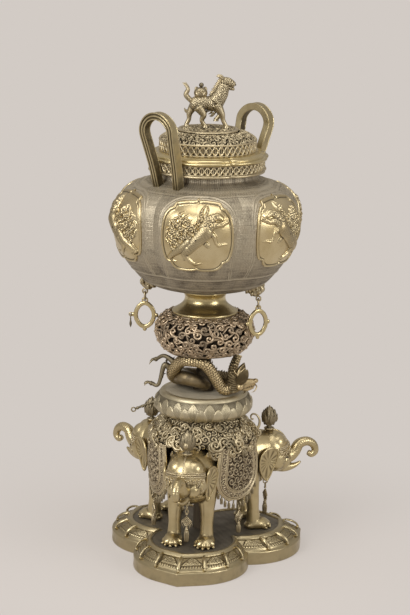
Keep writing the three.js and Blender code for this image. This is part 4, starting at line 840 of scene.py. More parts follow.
@dataclass
class Bowl:
    """Six-lobed bowl with a fretted ground, relief panels, handles, masks and rings."""

    columns: int = 1260
    radius: float = 180.0
    rib: float = 0.07
    lobes: int = 6
    panel_z: float = BOWL_BOTTOM + 133.0
    panel_edge: tuple[Point, ...] = (
        (0, 68), (5, 65.4), (18, 65), (34, 63), (42, 61), (47, 55), (56, 50), (64, 40), (69, 24), (71, 4),
        (70, -16), (66, -33), (60, -44), (51, -48), (45, -56), (35, -62), (16, -63.5), (5, -62.5), (0, -60.5))

    def profile(self, z: Array) -> tuple[Array, Array]:
        """Return the bowl's radius in the middle of a lobe and its rib share, at heights."""
        rows = [(0.30, 0.0, 0), (0.42, 0.025, 0), (0.56, 0.055, 0.2), (0.68, 0.105, 0.5), (0.79, 0.2, 0.8),
                (0.885, 0.3, 1), (0.965, 0.42, 1), (1, 0.58, 1), (1, 0.73, 1), (0.95, 0.845, 0.9),
                (0.82, 0.93, 0.7), (0.66, 0.985, 0.3), (0.555, 1.02, 0.05), (0.533, 1.07, 0),
                (0.533, 1.19, 0)]
        fine = spline(rows, 400)
        r, level, share = fine[np.argsort(fine[:, 1])].T
        h = (np.asarray(z, float) - BOWL_BOTTOM) / BOWL_HEIGHT
        return np.interp(h, level, r) * self.radius, np.interp(h, level, share)

    @staticmethod
    def swing(az: Array) -> Array:
        """Return how far azimuths lie from the middle of their lobe."""
        return (az + BOWL_LOBE / 2) % BOWL_LOBE - BOWL_LOBE / 2

    def skin(self, az: Array, z: Array, grow: float = 0.0) -> Array:
        """Return points of the bowl's skin at azimuths from the first lobe and at heights."""
        radius, share = self.profile(z)
        r = radius * (1 - self.rib * share * (abs(self.swing(az)) / (BOWL_LOBE / 2)) ** 2.2) + grow
        return polar(r, BOWL_TURN + az, z)

    def build_skin(self) -> None:
        """Make the bowl's outside with its fretted ground, raised lines and bands."""
        spans = ((533.3, 545, 14), (546, 748, 270), (749, 786, 30))
        z = np.concatenate([np.linspace(*span) for span in spans])
        az = turns(self.columns)
        base = self.skin(az[None, :], z[:, None])
        radius, _ = self.profile(z)
        u = rad(self.swing(az))[None, :] * radius[:, None]
        step = np.hypot(np.gradient(radius), np.gradient(z))
        v = np.cumsum(step)[:, None] + 0 * u
        high = z[:, None] + 0 * u
        round_u = (az[None, :] / 360) * 1080 + 0 * u
        fret = square_fret(round_u, v, 7.2, 1.5)
        neck = smooth_step(746, 752, high)
        flutes = 0.5 + 0.5 * np.cos(rad(az)[None, :] * 150)
        height = 0.55 * fret * (1 - neck) + 0.45 * flutes * neck * smooth_step(0, 30, 786 - high)
        streaks = 0.12 * np.sin(rad(az) * 37)[None, :] * np.sin(rad(az) * 11 + 1)[None, :]
        wear_and_shade = 0.33 + 0.36 * fret * (1 - neck) + (0.2 * flutes + streaks) * neck
        # The ground is made darker towards the bottom of the bowl, from z 640 down to z 560.
        wear_and_shade = wear_and_shade - 0.2 * smooth_step(640, 560, high)

        t = np.linspace(0, 1, 40)
        arch = np.stack([76 * np.sin(t * math.pi / 2) ** 0.75, 688 + 47 * np.cos(t * math.pi / 2)], axis=1)
        leg = np.stack([76 - 16 * np.linspace(0.03, 1, 24) ** 1.6, np.linspace(686, 580, 24)], axis=1)
        near = distance_to(abs(u), high, np.concatenate([arch, leg]))
        lines = np.maximum(bead(near - 1.9, 1.3), 0.8 * bead(near + 3.0, 1.0))
        band = np.maximum(bead(high - 580.2, 1.9), 0.6 * bead(high - 556, 1.4))
        raised = np.maximum(lines * (high > 580), band)
        height = np.where(raised > 0.02, np.maximum(height, 1.5 * raised), height)
        wear_and_shade = np.where(raised > 0.25, 0.42 + 0.2 * raised, wear_and_shade)
        shape = Shape().grid(base, height, wear_and_shade)
        shape.lathe([(91, 786), (90.5, 770), (91, 752), (118, 738), (146, 716), (156, 690), (156, 655),
                     (144, 610), (120, 570), (88, 548), (46, 540), (7, 539)], 120, 0.35)
        shape.lathe([(96.2, 786), (95.8, 787.2), (91.5, 787.2), (91, 786)], 120, 0.7)
        put("bowl_skin", shape, GROUND, nodes=["bowl_body", "bowl_underside"])

    def beast(self, u: Array, v: Array, kind: int) -> Array:
        """Return the relief of a mythical beast among flames.

        Args:
            u: Distance to the right of the panel's middle.
            v: Distance above it.
            kind: 0 for a beast that leaps to the upper right, 1 for its mirror image.

        Returns:
            Heights in millimetres.
        """
        if kind == 1:
            u = -u
        body = [([(16, 13), (8, 4), (-5, -9), (-16, -21)], [14, 12.5, 11, 10]),
                ([(14, 18), (19, 30), (28, 37)], [10, 9, 8]),
                ([(28, 37), (37, 40), (46, 36)], [7, 6, 4]),
                ([(18, -9), (21, -13)], [5, 4], 4)]
        legs = [([(-14, -18), (-21, -28), (-16, -38), (-8, -45)], [9, 7, 5, 4]),
                ([(-8, -45), (0, -48), (9, -46)], [3.8, 2.6, 1.6], 6),
                ([(-8, -45), (-2, -51), (5, -53)], [3.4, 2.2, 1.2], 6),
                ([(-8, -45), (-18, -40), (-25, -41)], [3.4, 2.4, 1.4], 6),
                ([(-14, -6), (-29, -20), (-42, -29), (-51, -38)], [8, 8, 7, 5]),
                ([(-51, -38), (-46, -44), (-38, -45)], [3.6, 2.6, 1.6], 6),
                ([(20, 16), (31, 25), (44, 26), (54, 30)], [8, 6.5, 5, 4.5]),
                ([(54, 30), (60, 37), (58, 46)], [4, 2.8, 1.6], 6),
                ([(54, 30), (62, 32), (66, 38)], [3.6, 2.6, 1.4], 6),
                ([(24, 12), (32, 5), (36, -7), (41, -12)], [6, 4.5, 3.2, 3]),
                ([(41, -12), (49, -10), (57, -11)], [3, 2.4, 1.4], 6)]
        flames = [([(8, 34), (8, 47), (14, 58)], [4, 3.4, 1], 8),
                  ([(15, 40), (19, 50), (17, 57)], [3.4, 2.6, 1], 8)]
        for x, y, bend, size in ((-4, 16, 3, 5), (-12, 22, -2, 5), (-18, 30, 2, 4.6), (-26, 34, -3, 4.6),
                                 (-24, 20, -6, 5), (-34, 26, -6, 4.6), (-44, 20, -4, 4.4), (-36, 12, -8, 5),
                                 (-50, 8, -5, 4.2), (-42, 2, -8, 4.6), (-28, 6, -5, 5), (-16, 8, -4, 5),
                                 (-52, -6, -4, 3.8), (-34, -8, -6, 4.4), (-40, -18, -6, 4), (4, 24, 4, 4.6)):
            line = [(x + 5, y - 6), (x + bend, y), (x + 0.4 * bend - 4, y + 7), (x + 3, y + 12)]
            flames.append((line, [size, size, size * 0.75, 0.8], 8))
        mass, limbs, fire = heap(u, v, body), heap(u, v, legs), heap(u, v, flames)
        curls, _ = cloud_scrolls(u + 200, v, 9.5, 400, 4.4, 3)
        head = smooth_step(17, 12, np.hypot(u - 24, v - 33))
        rough = 0.5 * np.sin(u * 0.9 + 2 * np.sin(v * 0.5)) * np.sin(v * 1.1 + u * 0.3)
        detail = np.where(fire > np.maximum(mass, limbs), (curls - 0.5) * 2.6 + 1.4 * rough,
                          0.5 * rough + 1.2 * (curls - 0.5) * head)
        high = np.maximum.reduce([0.95 * mass, 1.2 * limbs, 1.35 * fire])
        return high + detail * smooth_step(1.0, 4, high)

    def build_panel(self, number: int, kind: int) -> None:
        """Make one bracket-cornered panel with its raised frame and beast.

        Args:
            number: Which lobe it stands on, from 1.
            kind: Which beast it shows.
        """
        half = np.array(self.panel_edge, float)
        outline = spline(np.concatenate([half, half[-2:0:-1] * [-1, 1]]), 480, True)
        shares = np.concatenate([np.linspace(0.02, 0.86, 84), np.linspace(0.87, 1.0, 22)])
        u = shares[:, None] * outline[None, :, 0]
        v = shares[:, None] * outline[None, :, 1]
        az = (number - 1) * BOWL_LOBE
        radius, _ = self.profile(self.panel_z + v)
        base = self.skin(az + np.degrees(u / np.maximum(radius, 100)), self.panel_z + v)
        rim = (1 - shares)[:, None] * 66
        frame_ridge = np.maximum(bead(rim - 2.6, 2.2), 0.3 * bead(rim - 6.4, 0.9))
        swell = 2.6 * smooth_step(4, 40, rim)
        relief = self.beast(u, v, kind) * smooth_step(5, 8, rim)
        height = smooth_step(0.0, 1.0, rim) + 2.8 * frame_ridge + swell + 0.8 * relief - 1.5 * (rim < 0.3)
        shape = Shape().grid(base, height).worn(6, 0.7, 0.5)
        plain = ((relief < 0.3) & (rim > 5.2)).ravel()
        shape.wear_and_shade = [np.where(plain, 0.78, shape.wear_and_shade[0])]
        put(f"panel_{number}", shape, FIELD, nodes=[f"relief_panel_{number}"])

    def build(self) -> None:
        """Make the skin and the six panels."""
        self.build_skin()
        for number in range(1, self.lobes + 1):
            self.build_panel(number, (number - 1) % 2)


class Skin:
    """A shape's surface, to lay ornament on."""

    outside = 400.0

    def __init__(self, shape: Shape) -> None:
        """Index the surface.

        Args:
            shape: The shape whose surface it is.
        """
        faces = [tuple(int(k) for k in row) for block in shape.faces for row in block]
        self.tree = BVHTree.FromPolygons([tuple(p) for p in shape.co()], faces)

    def cast(self, start: Point, direction: Point, lift: float = 0.0) -> Array:
        """Return where a ray from far outside first meets the surface.

        Args:
            start: A place inside the shape.
            direction: Which way it is looked at from there.
            lift: How far the answer stands off the surface.

        Returns:
            The point, or the start where the ray meets nothing.
        """
        way = np.asarray(direction, float) / np.linalg.norm(direction)
        far = np.asarray(start, float) + way * self.outside
        hit = self.tree.ray_cast(Vector(far), Vector(-way))[0]
        return np.asarray(start, float) if hit is None else np.asarray(hit) + way * lift

    def band(self, centre: Point, swings: Iterable[float], rises: Iterable[float],
             lift: float = 0.0) -> Array:
        """Return points round the side that faces -Y, at swings and rises from a centre."""
        spots = []
        for swing, rise in zip(swings, rises):
            start = np.asarray(centre, float) + [0, 0, rise]
            spots.append(self.cast(start, (math.sin(rad(swing)), -math.cos(rad(swing)), 0.0), lift))
        return np.array(spots)


def spiral(centre: Point, across: Point, upward: Point, size: float, winds: float, start: float,
           hand: float, rise: float = 0.0) -> list[Array]:
    """Return points of a curl that winds inward on a plane.

    Args:
        centre: Middle of the curl.
        across: First direction of the plane, of unit length.
        upward: Second direction of the plane, of unit length.
        size: Outer radius.
        winds: How many turns it winds.
        start: Angle of its outer end, in degrees.
        hand: 1 or -1 for its turning sense.
        rise: How far its middle stands above the plane.

    Returns:
        The points, from the outer end to the middle.
    """
    across, upward = np.asarray(across, float), np.asarray(upward, float)
    normal = np.cross(across, upward)
    points = []
    for t in np.linspace(0, 1, max(int(winds * 8), 6)):
        r = size * (1 - 0.82 * t**0.8)
        a = rad(start) + hand * math.tau * winds * t
        points.append(np.asarray(centre, float) + r * (math.cos(a) * across + math.sin(a) * upward)
                      + rise * t * normal)
    return points


def pendant(eye: Point, drop: float) -> Shape:
    """Return a hanging ornament in the frame whose outward direction is -Y: loop, plaque and tassel.

    Args:
        eye: Middle of the wire that it hangs on.
        drop: Distance from there to its lowest point.

    Returns:
        The shape.
    """
    half = 11.0
    x, y, top = eye[0], eye[1], eye[2] - 0.2
    low, loop = top - drop, top - 9.0
    plaque = loop + (low - loop) * 0.35
    made = Shape()
    made.tube(hoop((x, y, top - 4.5), 4.5, 4.5, across=(0, 1, 0)), [1.2], 8, 24, True)
    made.tube(hoop((x, y, top - 12.5), 2.6, 4.6, across=(1, 0, 0)), [1.1], 8, 20, True)
    made.ball((x, y, plaque + 14), (2.6, 2.6, 2.2), 12)
    shares = np.linspace(0.04, 1, 26)[:, None]
    outline, _, _ = polygon([(0, 1), (1, 0), (0, -1), (-1, 0)], 64)
    u, v = shares * outline[:, 0] * half, shares * outline[:, 1] * half
    step = bead((shares - 0.9) * half, 1.1) + 0.8 * bead((shares - 0.55) * half, 1.0)
    step = step + 0.9 * bead(shares * half, 2.4)
    for side in (-1, 1):
        thick = side * (smooth_step(1.0, 0.93, shares) + 0.9 * step) + 0 * u
        made.grid(np.stack([x + u, y - thick, plaque + v], axis=-1), 0, 0.35 + 0.5 * step, flip=side < 0)
    for side in (-1, 1):
        for k in range(3):
            made.tube([(x + side * (9.5 - 2.5 * k), y, plaque - 2 - 2.6 * k),
                       (x + side * (11 - 2.5 * k), y, plaque - 8 - 3 * k)], [0.9, 0.6], 6, 3)
    made.ball((x, y, plaque - 12.5), (2.4, 2.4, 2.2), 12)
    tassel = plaque - 14
    made.ball((x, y, tassel - 3), (3.6, 3.6, 4.2), 14)
    for k in range(9):
        a = math.tau * k / 9
        c, s = math.cos(a), math.sin(a)
        made.tube([(x + 2.2 * c, y + 2.2 * s, tassel - 5), (x + 3.9 * c, y + 3.9 * s, tassel - 12),
                   (x + 3.2 * c, y + 3.2 * s, low + 1)], [1.2, 1.2, 0.8], 6, 8, wear_and_shade=0.55)
    return made


@dataclass
class Elephants:
    """Three elephants back to back, with headbands, jewels and breast pendants."""

    names: tuple[str, ...] = ("front", "right", "left")
    head: tuple[float, float] = (143.0, 192.0)
    trunk: tuple[Point, ...] = ((158, 190), (178, 182), (192, 189), (202, 204), (218, 208.5), (232, 201.5),
                                (237, 188), (230, 180.5), (222.5, 184.5))
    trunk_radii: tuple[float, ...] = (19, 16, 13, 11.4, 10, 8.8, 7.8, 7, 5.6)
    leg_side: float = 32.0

    def body(self) -> Shape:
        """Return the torso, neck, legs and feet as one skin."""
        made = Shape()
        made.ball(out(60, 0, 187), (56, 74, 55), 48)
        made.ball(out(108, 0, 176), (41, 30, 44), 36)
        made.tube([out(92, 0, 196), out(122, 0, 200), out(138, 0, 196)], [47, 42, 34], 28, 12)
        for side in (-1, 1):
            x = side * self.leg_side
            made.tube([out(84, side * 27, 176), out(90, side * 30, 144), out(95, x, 112), out(97, x, 84),
                       out(98, x, 62)], [26, 20, 14, 11.8, 14], 24, 30)
            made.ball(out(107, x, 58), (18.5, 23, 12), 30)
            made.ball(out(93, x, 55), (15, 14, 8), 24)
            for k in range(5):
                a = rad(-66 + 33 * k)
                made.ball(out(107 + 20.5 * math.cos(a), x + 16 * math.sin(a), 55.5), (5.2, 6.4, 7.2), 14,
                          tilt=(0, 0, float(np.degrees(a))))
        made = made.fused(1.8, 5)
        points = made.co()
        az = np.degrees(np.arctan2(points[:, 0], -points[:, 1]))
        r = np.hypot(points[:, 0], points[:, 1])
        points = polar(r, np.clip(az, -59.7, 59.7), np.maximum(points[:, 2], FLOOR_Z))
        wrinkle = 0.28 * np.sin(points[:, 2] * 1.1 + 2.2 * np.sin(points[:, 0] / 9))
        points[:, 1] -= wrinkle * smooth_step(132, 150, points[:, 2]) * smooth_step(195, 175, points[:, 2])
        made.points = [points]
        for side in (-1, 1):
            for k in range(5):
                a = rad(-62 + 31 * k)
                spot = out(107 + 25.5 * math.cos(a), side * self.leg_side + 20 * math.sin(a), 51.5)
                made.ball(spot, (2.8, 3.4, 2.6), 10, 0.8, (0, 0, float(np.degrees(a))))
        return made

    def ear(self, side: float) -> Shape:
        """Return one leaf-shaped ear with a rolled rim, on the given side."""
        edge = spline([(10, 16), (0, 25), (-14, 22), (-23, 8), (-23, -10), (-17, -26), (-8, -38), (-2, -30),
                       (3, -16), (9, -2)], 72, True)
        middle = (-6.0, -3.0)

        def place(a: Array, b: Array, lift: Array) -> Array:
            """Return the place of a spot of the ear, with a lift off its sheet."""
            bow = 5.0 + 0.010 * (a - 4) ** 2 + 0.15 * (b + 2)
            return np.stack([side * (36 + bow - 0.16 * a + lift), -(131 + 1.2 * a), 187 + 1.08 * b], axis=-1)

        made = Shape()
        shares = np.linspace(0.03, 1, 30)[:, None]
        a = middle[0] + shares * (edge[None, :, 0] - middle[0])
        b = middle[1] + shares * (edge[None, :, 1] - middle[1])
        angle = np.arctan2(edge[:, 1] - middle[1], edge[:, 0] - middle[0])[None, :]
        ribs = 0.5 * np.cos(angle * 13) * smooth_step(0.15, 0.5, shares) * smooth_step(0.95, 0.75, shares)
        dish = -2.4 * (1 - shares**2)
        face = place(a, b, dish + ribs)
        back = place(a, b, dish - 3.0)
        wear_and_shade = 0.52 + 0.5 * ribs + 0 * a
        made.grid(face, 0, wear_and_shade, flip=side < 0)
        made.grid(back, 0, 0.4, flip=side > 0)
        rim = place(edge[:, 0], edge[:, 1], np.full(len(edge), -0.6))
        return made.tube(rim, [2.0], 10, 96, True, 0.85)

    def skull(self) -> tuple[Shape, "Skin"]:
        """Return the head without its ears, and the surface of the same head without a trunk."""
        r, z = self.head
        made = Shape()
        made.ball(out(r - 3, 0, z + 7), (39, 38, 40), 48)
        for side in (-1, 1):
            made.ball(out(r + 6, side * 15, z + 22), (20, 20, 20), 32)
            made.ball(out(r + 18, side * 18, z - 14), (14.5, 17, 16), 24)
            made.ball(out(r + 3, side * 29, z - 8), (11, 17, 20), 20)
        made.ball(out(r + 18, 0, z + 9), (25, 20, 20), 32)
        made.ball(out(r + 8, 0, z - 26), (20, 26, 14), 24)
        chin = [out(150, 0, 165), out(175, 0, 158.5), out(193, 0, 160), out(207, 0, 167)]
        made.tube(chin, [13, 11, 6.5, 2.4], 18, 24)
        bare = Shape().merge(made).fused(1.5, 5)
        made.tube([out(a, 0, b) for a, b in self.trunk[:4]], [19, 16, 12.4, 10], 24, 24)
        made = made.fused(1.5, 5)
        points = made.co()
        near = np.exp(-(((points[:, 2] - 184) / 15) ** 2)) * smooth_step(16, 26, abs(points[:, 0]))
        points[:, 0] += 0.35 * near * np.sin(points[:, 1] * 1.3 + points[:, 2] * 0.35)
        made.points = [points]
        path = spline([out(a, 0, b) for a, b in self.trunk], 150)
        folds = np.cos(np.arange(151) * 2 * math.pi / 5.0)
        made.tube(path, along(self.trunk_radii, 151) * (1 + 0.014 * folds), 26, 150)
        made.wear_and_shade[-1] = np.concatenate([np.repeat(0.6 + 0.1 * folds, 26), [0.6, 0.6]])
        return made, Skin(bare)

    def crown(self, skin: Skin) -> Shape:
        """Return the beaded band with its festoons, the eyes and the temple scrolls."""
        def drooped(swing: Array | float, rise: Array | float) -> Array | float:
            """Return a rise above the centre, which falls off towards the sides."""
            return rise - 5 * (swing / 78) ** 2

        r, z = self.head
        made = Shape()
        centre = out(r - 4, 0, z + 3)
        swings = np.linspace(-78, 78, 40)
        for rise in (12.5, 19.0):
            made.tube(skin.band(centre, swings, drooped(swings, rise), 0.6), [1.5], 8, 100, wear_and_shade=0.8)
        swings = np.linspace(-74, 74, 43)
        for spot in skin.band(centre, swings, drooped(swings, 15.8), 0.6):
            made.ball(spot, 1.9, 10, 0.85)
        for k in range(9):
            low, high = -72 + 16 * k, -56 + 16 * k
            t = np.linspace(0, 1, 9)
            swing = low + (high - low) * t
            sag = drooped(swing, 9) - 7 * np.sin(math.pi * t)
            made.tube(skin.band(centre, swing, sag, 0.6), [1.1], 7, 20, wear_and_shade=0.75)
            middle = 0.5 * (low + high)
            rises = [drooped(middle, x) for x in (5.5, 0.6)]
            for spot, half, wear_and_shade in zip(skin.band(centre, [middle] * 2, rises, 0.8), (2.2, (1.7, 1.7, 2.4)),
                                        (0.85, 0.8)):
                made.ball(spot, half, 10, wear_and_shade)
        for side in (-1, 1):
            for rise, swing, size, hand in ((-6, 50, 5.5, 1), (3, 66, 4.6, -1), (-16, 60, 4.4, -1)):
                spot = skin.cast(np.add(centre, (0, 0, rise)),
                                 (side * math.sin(rad(swing)), -math.cos(rad(swing)), 0), 0.2)
                across = (math.cos(rad(swing)), side * math.sin(rad(swing)), 0)
                curl = spiral(spot, across, UP, size, 1.4, 90, hand * side, 0.4)
                made.tube(curl, [1.2, 1.1, 0.9], 7, 30, wear_and_shade=0.7)
            eye = skin.cast(out(r + 15, 0, z - 5), (side, -0.35, 0), -0.6)
            made.ball(eye, (2.6, 3.2, 2.6), 14, 0.3)
            for sign in (-1, 1):
                lid = [eye + np.array([side * (0.6 - 0.10 * abs(t)), t, sign * (3.0 - 0.13 * t * t)])
                       for t in (-4.6, -2.4, 0, 2.4, 4.6)]
                made.tube(lid, [0.7, 1.1, 0.7], 7, 14, wear_and_shade=0.8)
        crest = [skin.cast(out(r, 0, z), (0, -math.sin(rad(t)), math.cos(rad(t))), 0.5)
                 for t in np.linspace(-20, 66, 14)]
        made.tube(crest, [2.0, 1.6, 1.2], 8, 40, wear_and_shade=0.75)
        return made

    def jewel(self) -> Shape:
        """Return the flame-shaped jewel with its cup and overlapping leaves."""
        made = Shape()
        reach, foot = 138.0, 240.6
        profile = [(3, -6), (8, -2), (9, 0), (9, 2), (6, 4), (4, 7), (4.5, 9), (9, 11), (13, 15), (15, 21),
                   (14, 28), (9, 36), (3.5, 43), (0.6, 48)]
        made.merge(Shape().lathe(profile, 40, 0.35).placed(move=out(reach, 0, foot)))
        made.tube(hoop(out(reach, 0, foot + 1.5), 9, 9, 12, (1, 0, 0), (0, -1, 0)), [1.5], 8, 40, True, 0.7)
        s = np.linspace(0, 1, 12)[:, None]
        w = np.linspace(-1, 1, 9)[None, :]
        x = 4.6 * np.sin(math.pi * (0.18 + 0.82 * s)) ** 0.8 * (1 - 0.25 * s) * w
        ridge = 0.8 * np.exp(-((w / 0.22) ** 2)) + 0 * s
        wear_and_shade = np.clip(0.3 + 0.5 * s * abs(w) ** 2 + 0.4 * ridge * s, 0, 1)
        rows = ((9, 8.5, 8, 15, 0.0), (15, 13, 9, 17, 0.15), (23, 14, 9, 17, 0.5), (31, 11, 7, 14, 0.85))
        for row, (z, base, count, high, close) in enumerate(rows):
            lean = 1.6 + 3.4 * s**1.6 + 1.2 * np.sin(math.pi * s) - close * high * s
            leaf = np.stack([x, -(base + lean - 0.10 * x**2), z + high * s + 0 * w], axis=-1)
            both = Shape().grid(leaf, ridge, wear_and_shade, False).grid(leaf, 0.6, 0.25, False, flip=True)
            for k in range(count):
                made.merge(both.placed(360 * (k + 0.5 * (row % 2)) / count, out(reach, 0, foot)))
        return made.ball(out(reach + 14, 0, foot + 20), (5, 4, 6), 16, 0.95)

    def build(self) -> None:
        """Make the three elephants from one model of each part."""
        body, (skull, bare) = self.body(), self.skull()
        crown = self.crown(bare)
        jewel = self.jewel()
        ears = self.ear(1).merge(self.ear(-1))
        hanger = Shape().tube(hoop(out(133, 0, 141), 4.2, 4.2, across=(1, 0, 0)), [1.4], 8, 24, True)
        hanger.ball(out(132, 0, 146.5), (3.2, 3.6, 3.4), 14)
        drop = pendant(out(133, 0, 136.8), 74)
        for name, az in zip(self.names, (0.0, 120.0, 240.0)):
            put(f"elephant_{name}_torso", body.placed(az), HIDE, nodes=[f"elephant_{name}_body"])
            put(f"elephant_{name}_skull", skull.placed(az), HIDE, nodes=[f"elephant_{name}_head"])
            put(f"elephant_{name}_ears", ears.placed(az), HIDE)
            put(f"elephant_{name}_crown", crown.placed(az), CAST, nodes=[f"headband_{name}"])
            put(f"elephant_{name}_jewel", jewel.placed(az), JEWEL, nodes=[f"jewel_finial_{name}"])
            put(f"elephant_{name}_hanger", hanger.placed(az), CAST)
            put(f"elephant_{name}_breast_pendant", drop.placed(az), JEWEL, f"breast_pendant_{name}",
                [f"breast_pendant_{name}"])


@dataclass
class Cloths:
    """Three cast saddle cloths with openwork scrolls, fringes and pendants."""

    names: tuple[str, ...] = ("right", "back", "left")
    top: float = CLOTH_TOP
    drop: float = 110.0
    half: float = 58.0
    reach: float = 101.0
    waist: float = 0.55
    round: float = 0.46

    def width(self, down: Array) -> Array:
        """Return half the cloth's width at shares of its drop."""
        upper = 0.86 + 0.14 * np.sin(math.pi * np.clip(down, 0, self.waist) / 1.1)
        lower = np.sqrt(np.clip(1 - ((down - self.waist) / self.round) ** 2, 0.01, None))
        return self.half * np.where(down < self.waist, upper, lower)

    def place(self, down: Array, across: Array, lift: Array | float = 0.0) -> Array:
        """Return places of the cloth at shares of its drop and distances across."""
        r = self.reach + 5 * np.sin(math.pi * down) - 3 * down - 0.0034 * across**2 + lift
        return np.stack([across, -r, self.top - self.drop * down + 0 * across], axis=-1)

    def sheet(self) -> Shape:
        """Return the tongue-shaped sheet with its borders and openwork centre."""
        down = (1 - np.cos(np.linspace(0, math.pi, 230))) / 2
        down = 0.5 * down + 0.5 * np.linspace(0, 1, 230)
        side = np.linspace(-1, 1, 200)
        d, s = np.meshgrid(down, side, indexing="ij")
        across = s * self.width(d)
        v = d * self.drop
        edge_down = np.linspace(0, 1, 90)
        outline = np.stack([self.width(edge_down), edge_down * self.drop], axis=1)
        outline = np.concatenate([outline, [[0, self.drop + 1]]])
        rim = distance_to(abs(across), v, outline)
        lines = np.maximum.reduce([gain * bead(rim - spot, half) for gain, spot, half in
                                   ((1, 1.6, 1.6), (0.8, 5.4, 1.1), (0.9, 16.5, 1.4), (0.7, 19.6, 1.0))])
        border, _ = cloud_scrolls(across + 300, v, 9.5, 600, 4.6, 7)
        centre, depth = cloud_scrolls(across + 300, v, 15.0, 600, 6.4, 11)
        in_border = smooth_step(6.4, 7.4, rim) * smooth_step(15.4, 14.4, rim)
        inside = smooth_step(20.5, 21.8, rim)
        holes = smooth_step(2.6, 1.2, depth) * (centre < 0.55)
        height = 1.5 * lines + in_border * (1.5 * border - 0.7)
        height = height + inside * (3.2 * centre**0.8 - 1.2 - 2.2 * holes)
        wear_and_shade = 0.34 + 0.6 * lines + in_border * (0.45 * border - 0.12) + inside * (0.55 * centre - 0.3)
        wear_and_shade = np.clip(np.where(lines > 0.2, 0.55 + 0.4 * lines, wear_and_shade), 0, 1)
        made = Shape().grid(self.place(d, across), height, wear_and_shade, False, flip=True)
        made.grid(self.place(d, across, -4.0), 0.0, 0.3, False)
        edge = [self.place(t, sign * self.width(t), -1.6) for sign, steps in
                ((-1, np.linspace(0, 0.97, 24)), (1, np.linspace(0.97, 0, 24))) for t in steps]
        return made.tube(edge, [2.5], 10, 160, wear_and_shade=0.8)

    def fringe(self) -> Shape:
        """Return the small tassels along the lower edge."""
        made = Shape()
        for share in (-0.92, -0.78, -0.62, -0.45, -0.24, 0.24, 0.45, 0.62, 0.78, 0.92):
            down = self.waist + self.round * math.sqrt(1 - share**2)
            spot = self.place(down, share * self.half, -1.6)
            made.ball(spot - [0, 0, 3.0], 1.9, 10)
            made.tube([spot, spot - [0, 0, 4.5]], [0.8], 6, 3)
            for k in range(6):
                c, s = math.cos(math.tau * k / 6), math.sin(math.tau * k / 6)
                thread = [spot - [0, 0, 4.5], spot + [1.9 * c, 1.9 * s, -10], spot + [2.0 * c, 2.0 * s, -19]]
                made.tube(thread, [0.9, 1.1, 0.6], 6, 8, wear_and_shade=0.5)
        return made

    def build(self) -> None:
        """Make the three cloths with their fringes and pendants."""
        sheet, fringe = self.sheet(), self.fringe()
        drop = pendant(out(98, 0, 125.1), 64)
        hanger = Shape().ball(out(97.5, 0, 130.4), (2.4, 2.4, 2.6), 12)
        for name, az in zip(self.names, (60.0, 180.0, 300.0)):
            put(f"cloth_{name}_sheet", sheet.placed(az), CLOTH, nodes=[f"saddle_cloth_{name}"])
            put(f"cloth_{name}_fringe", fringe.placed(az), JEWEL)
            put(f"cloth_{name}_hanger", hanger.placed(az), CAST)
            put(f"cloth_{name}_tip_pendant", drop.placed(az), JEWEL, f"cloth_pendant_{name}",
                [f"cloth_pendant_{name}"])


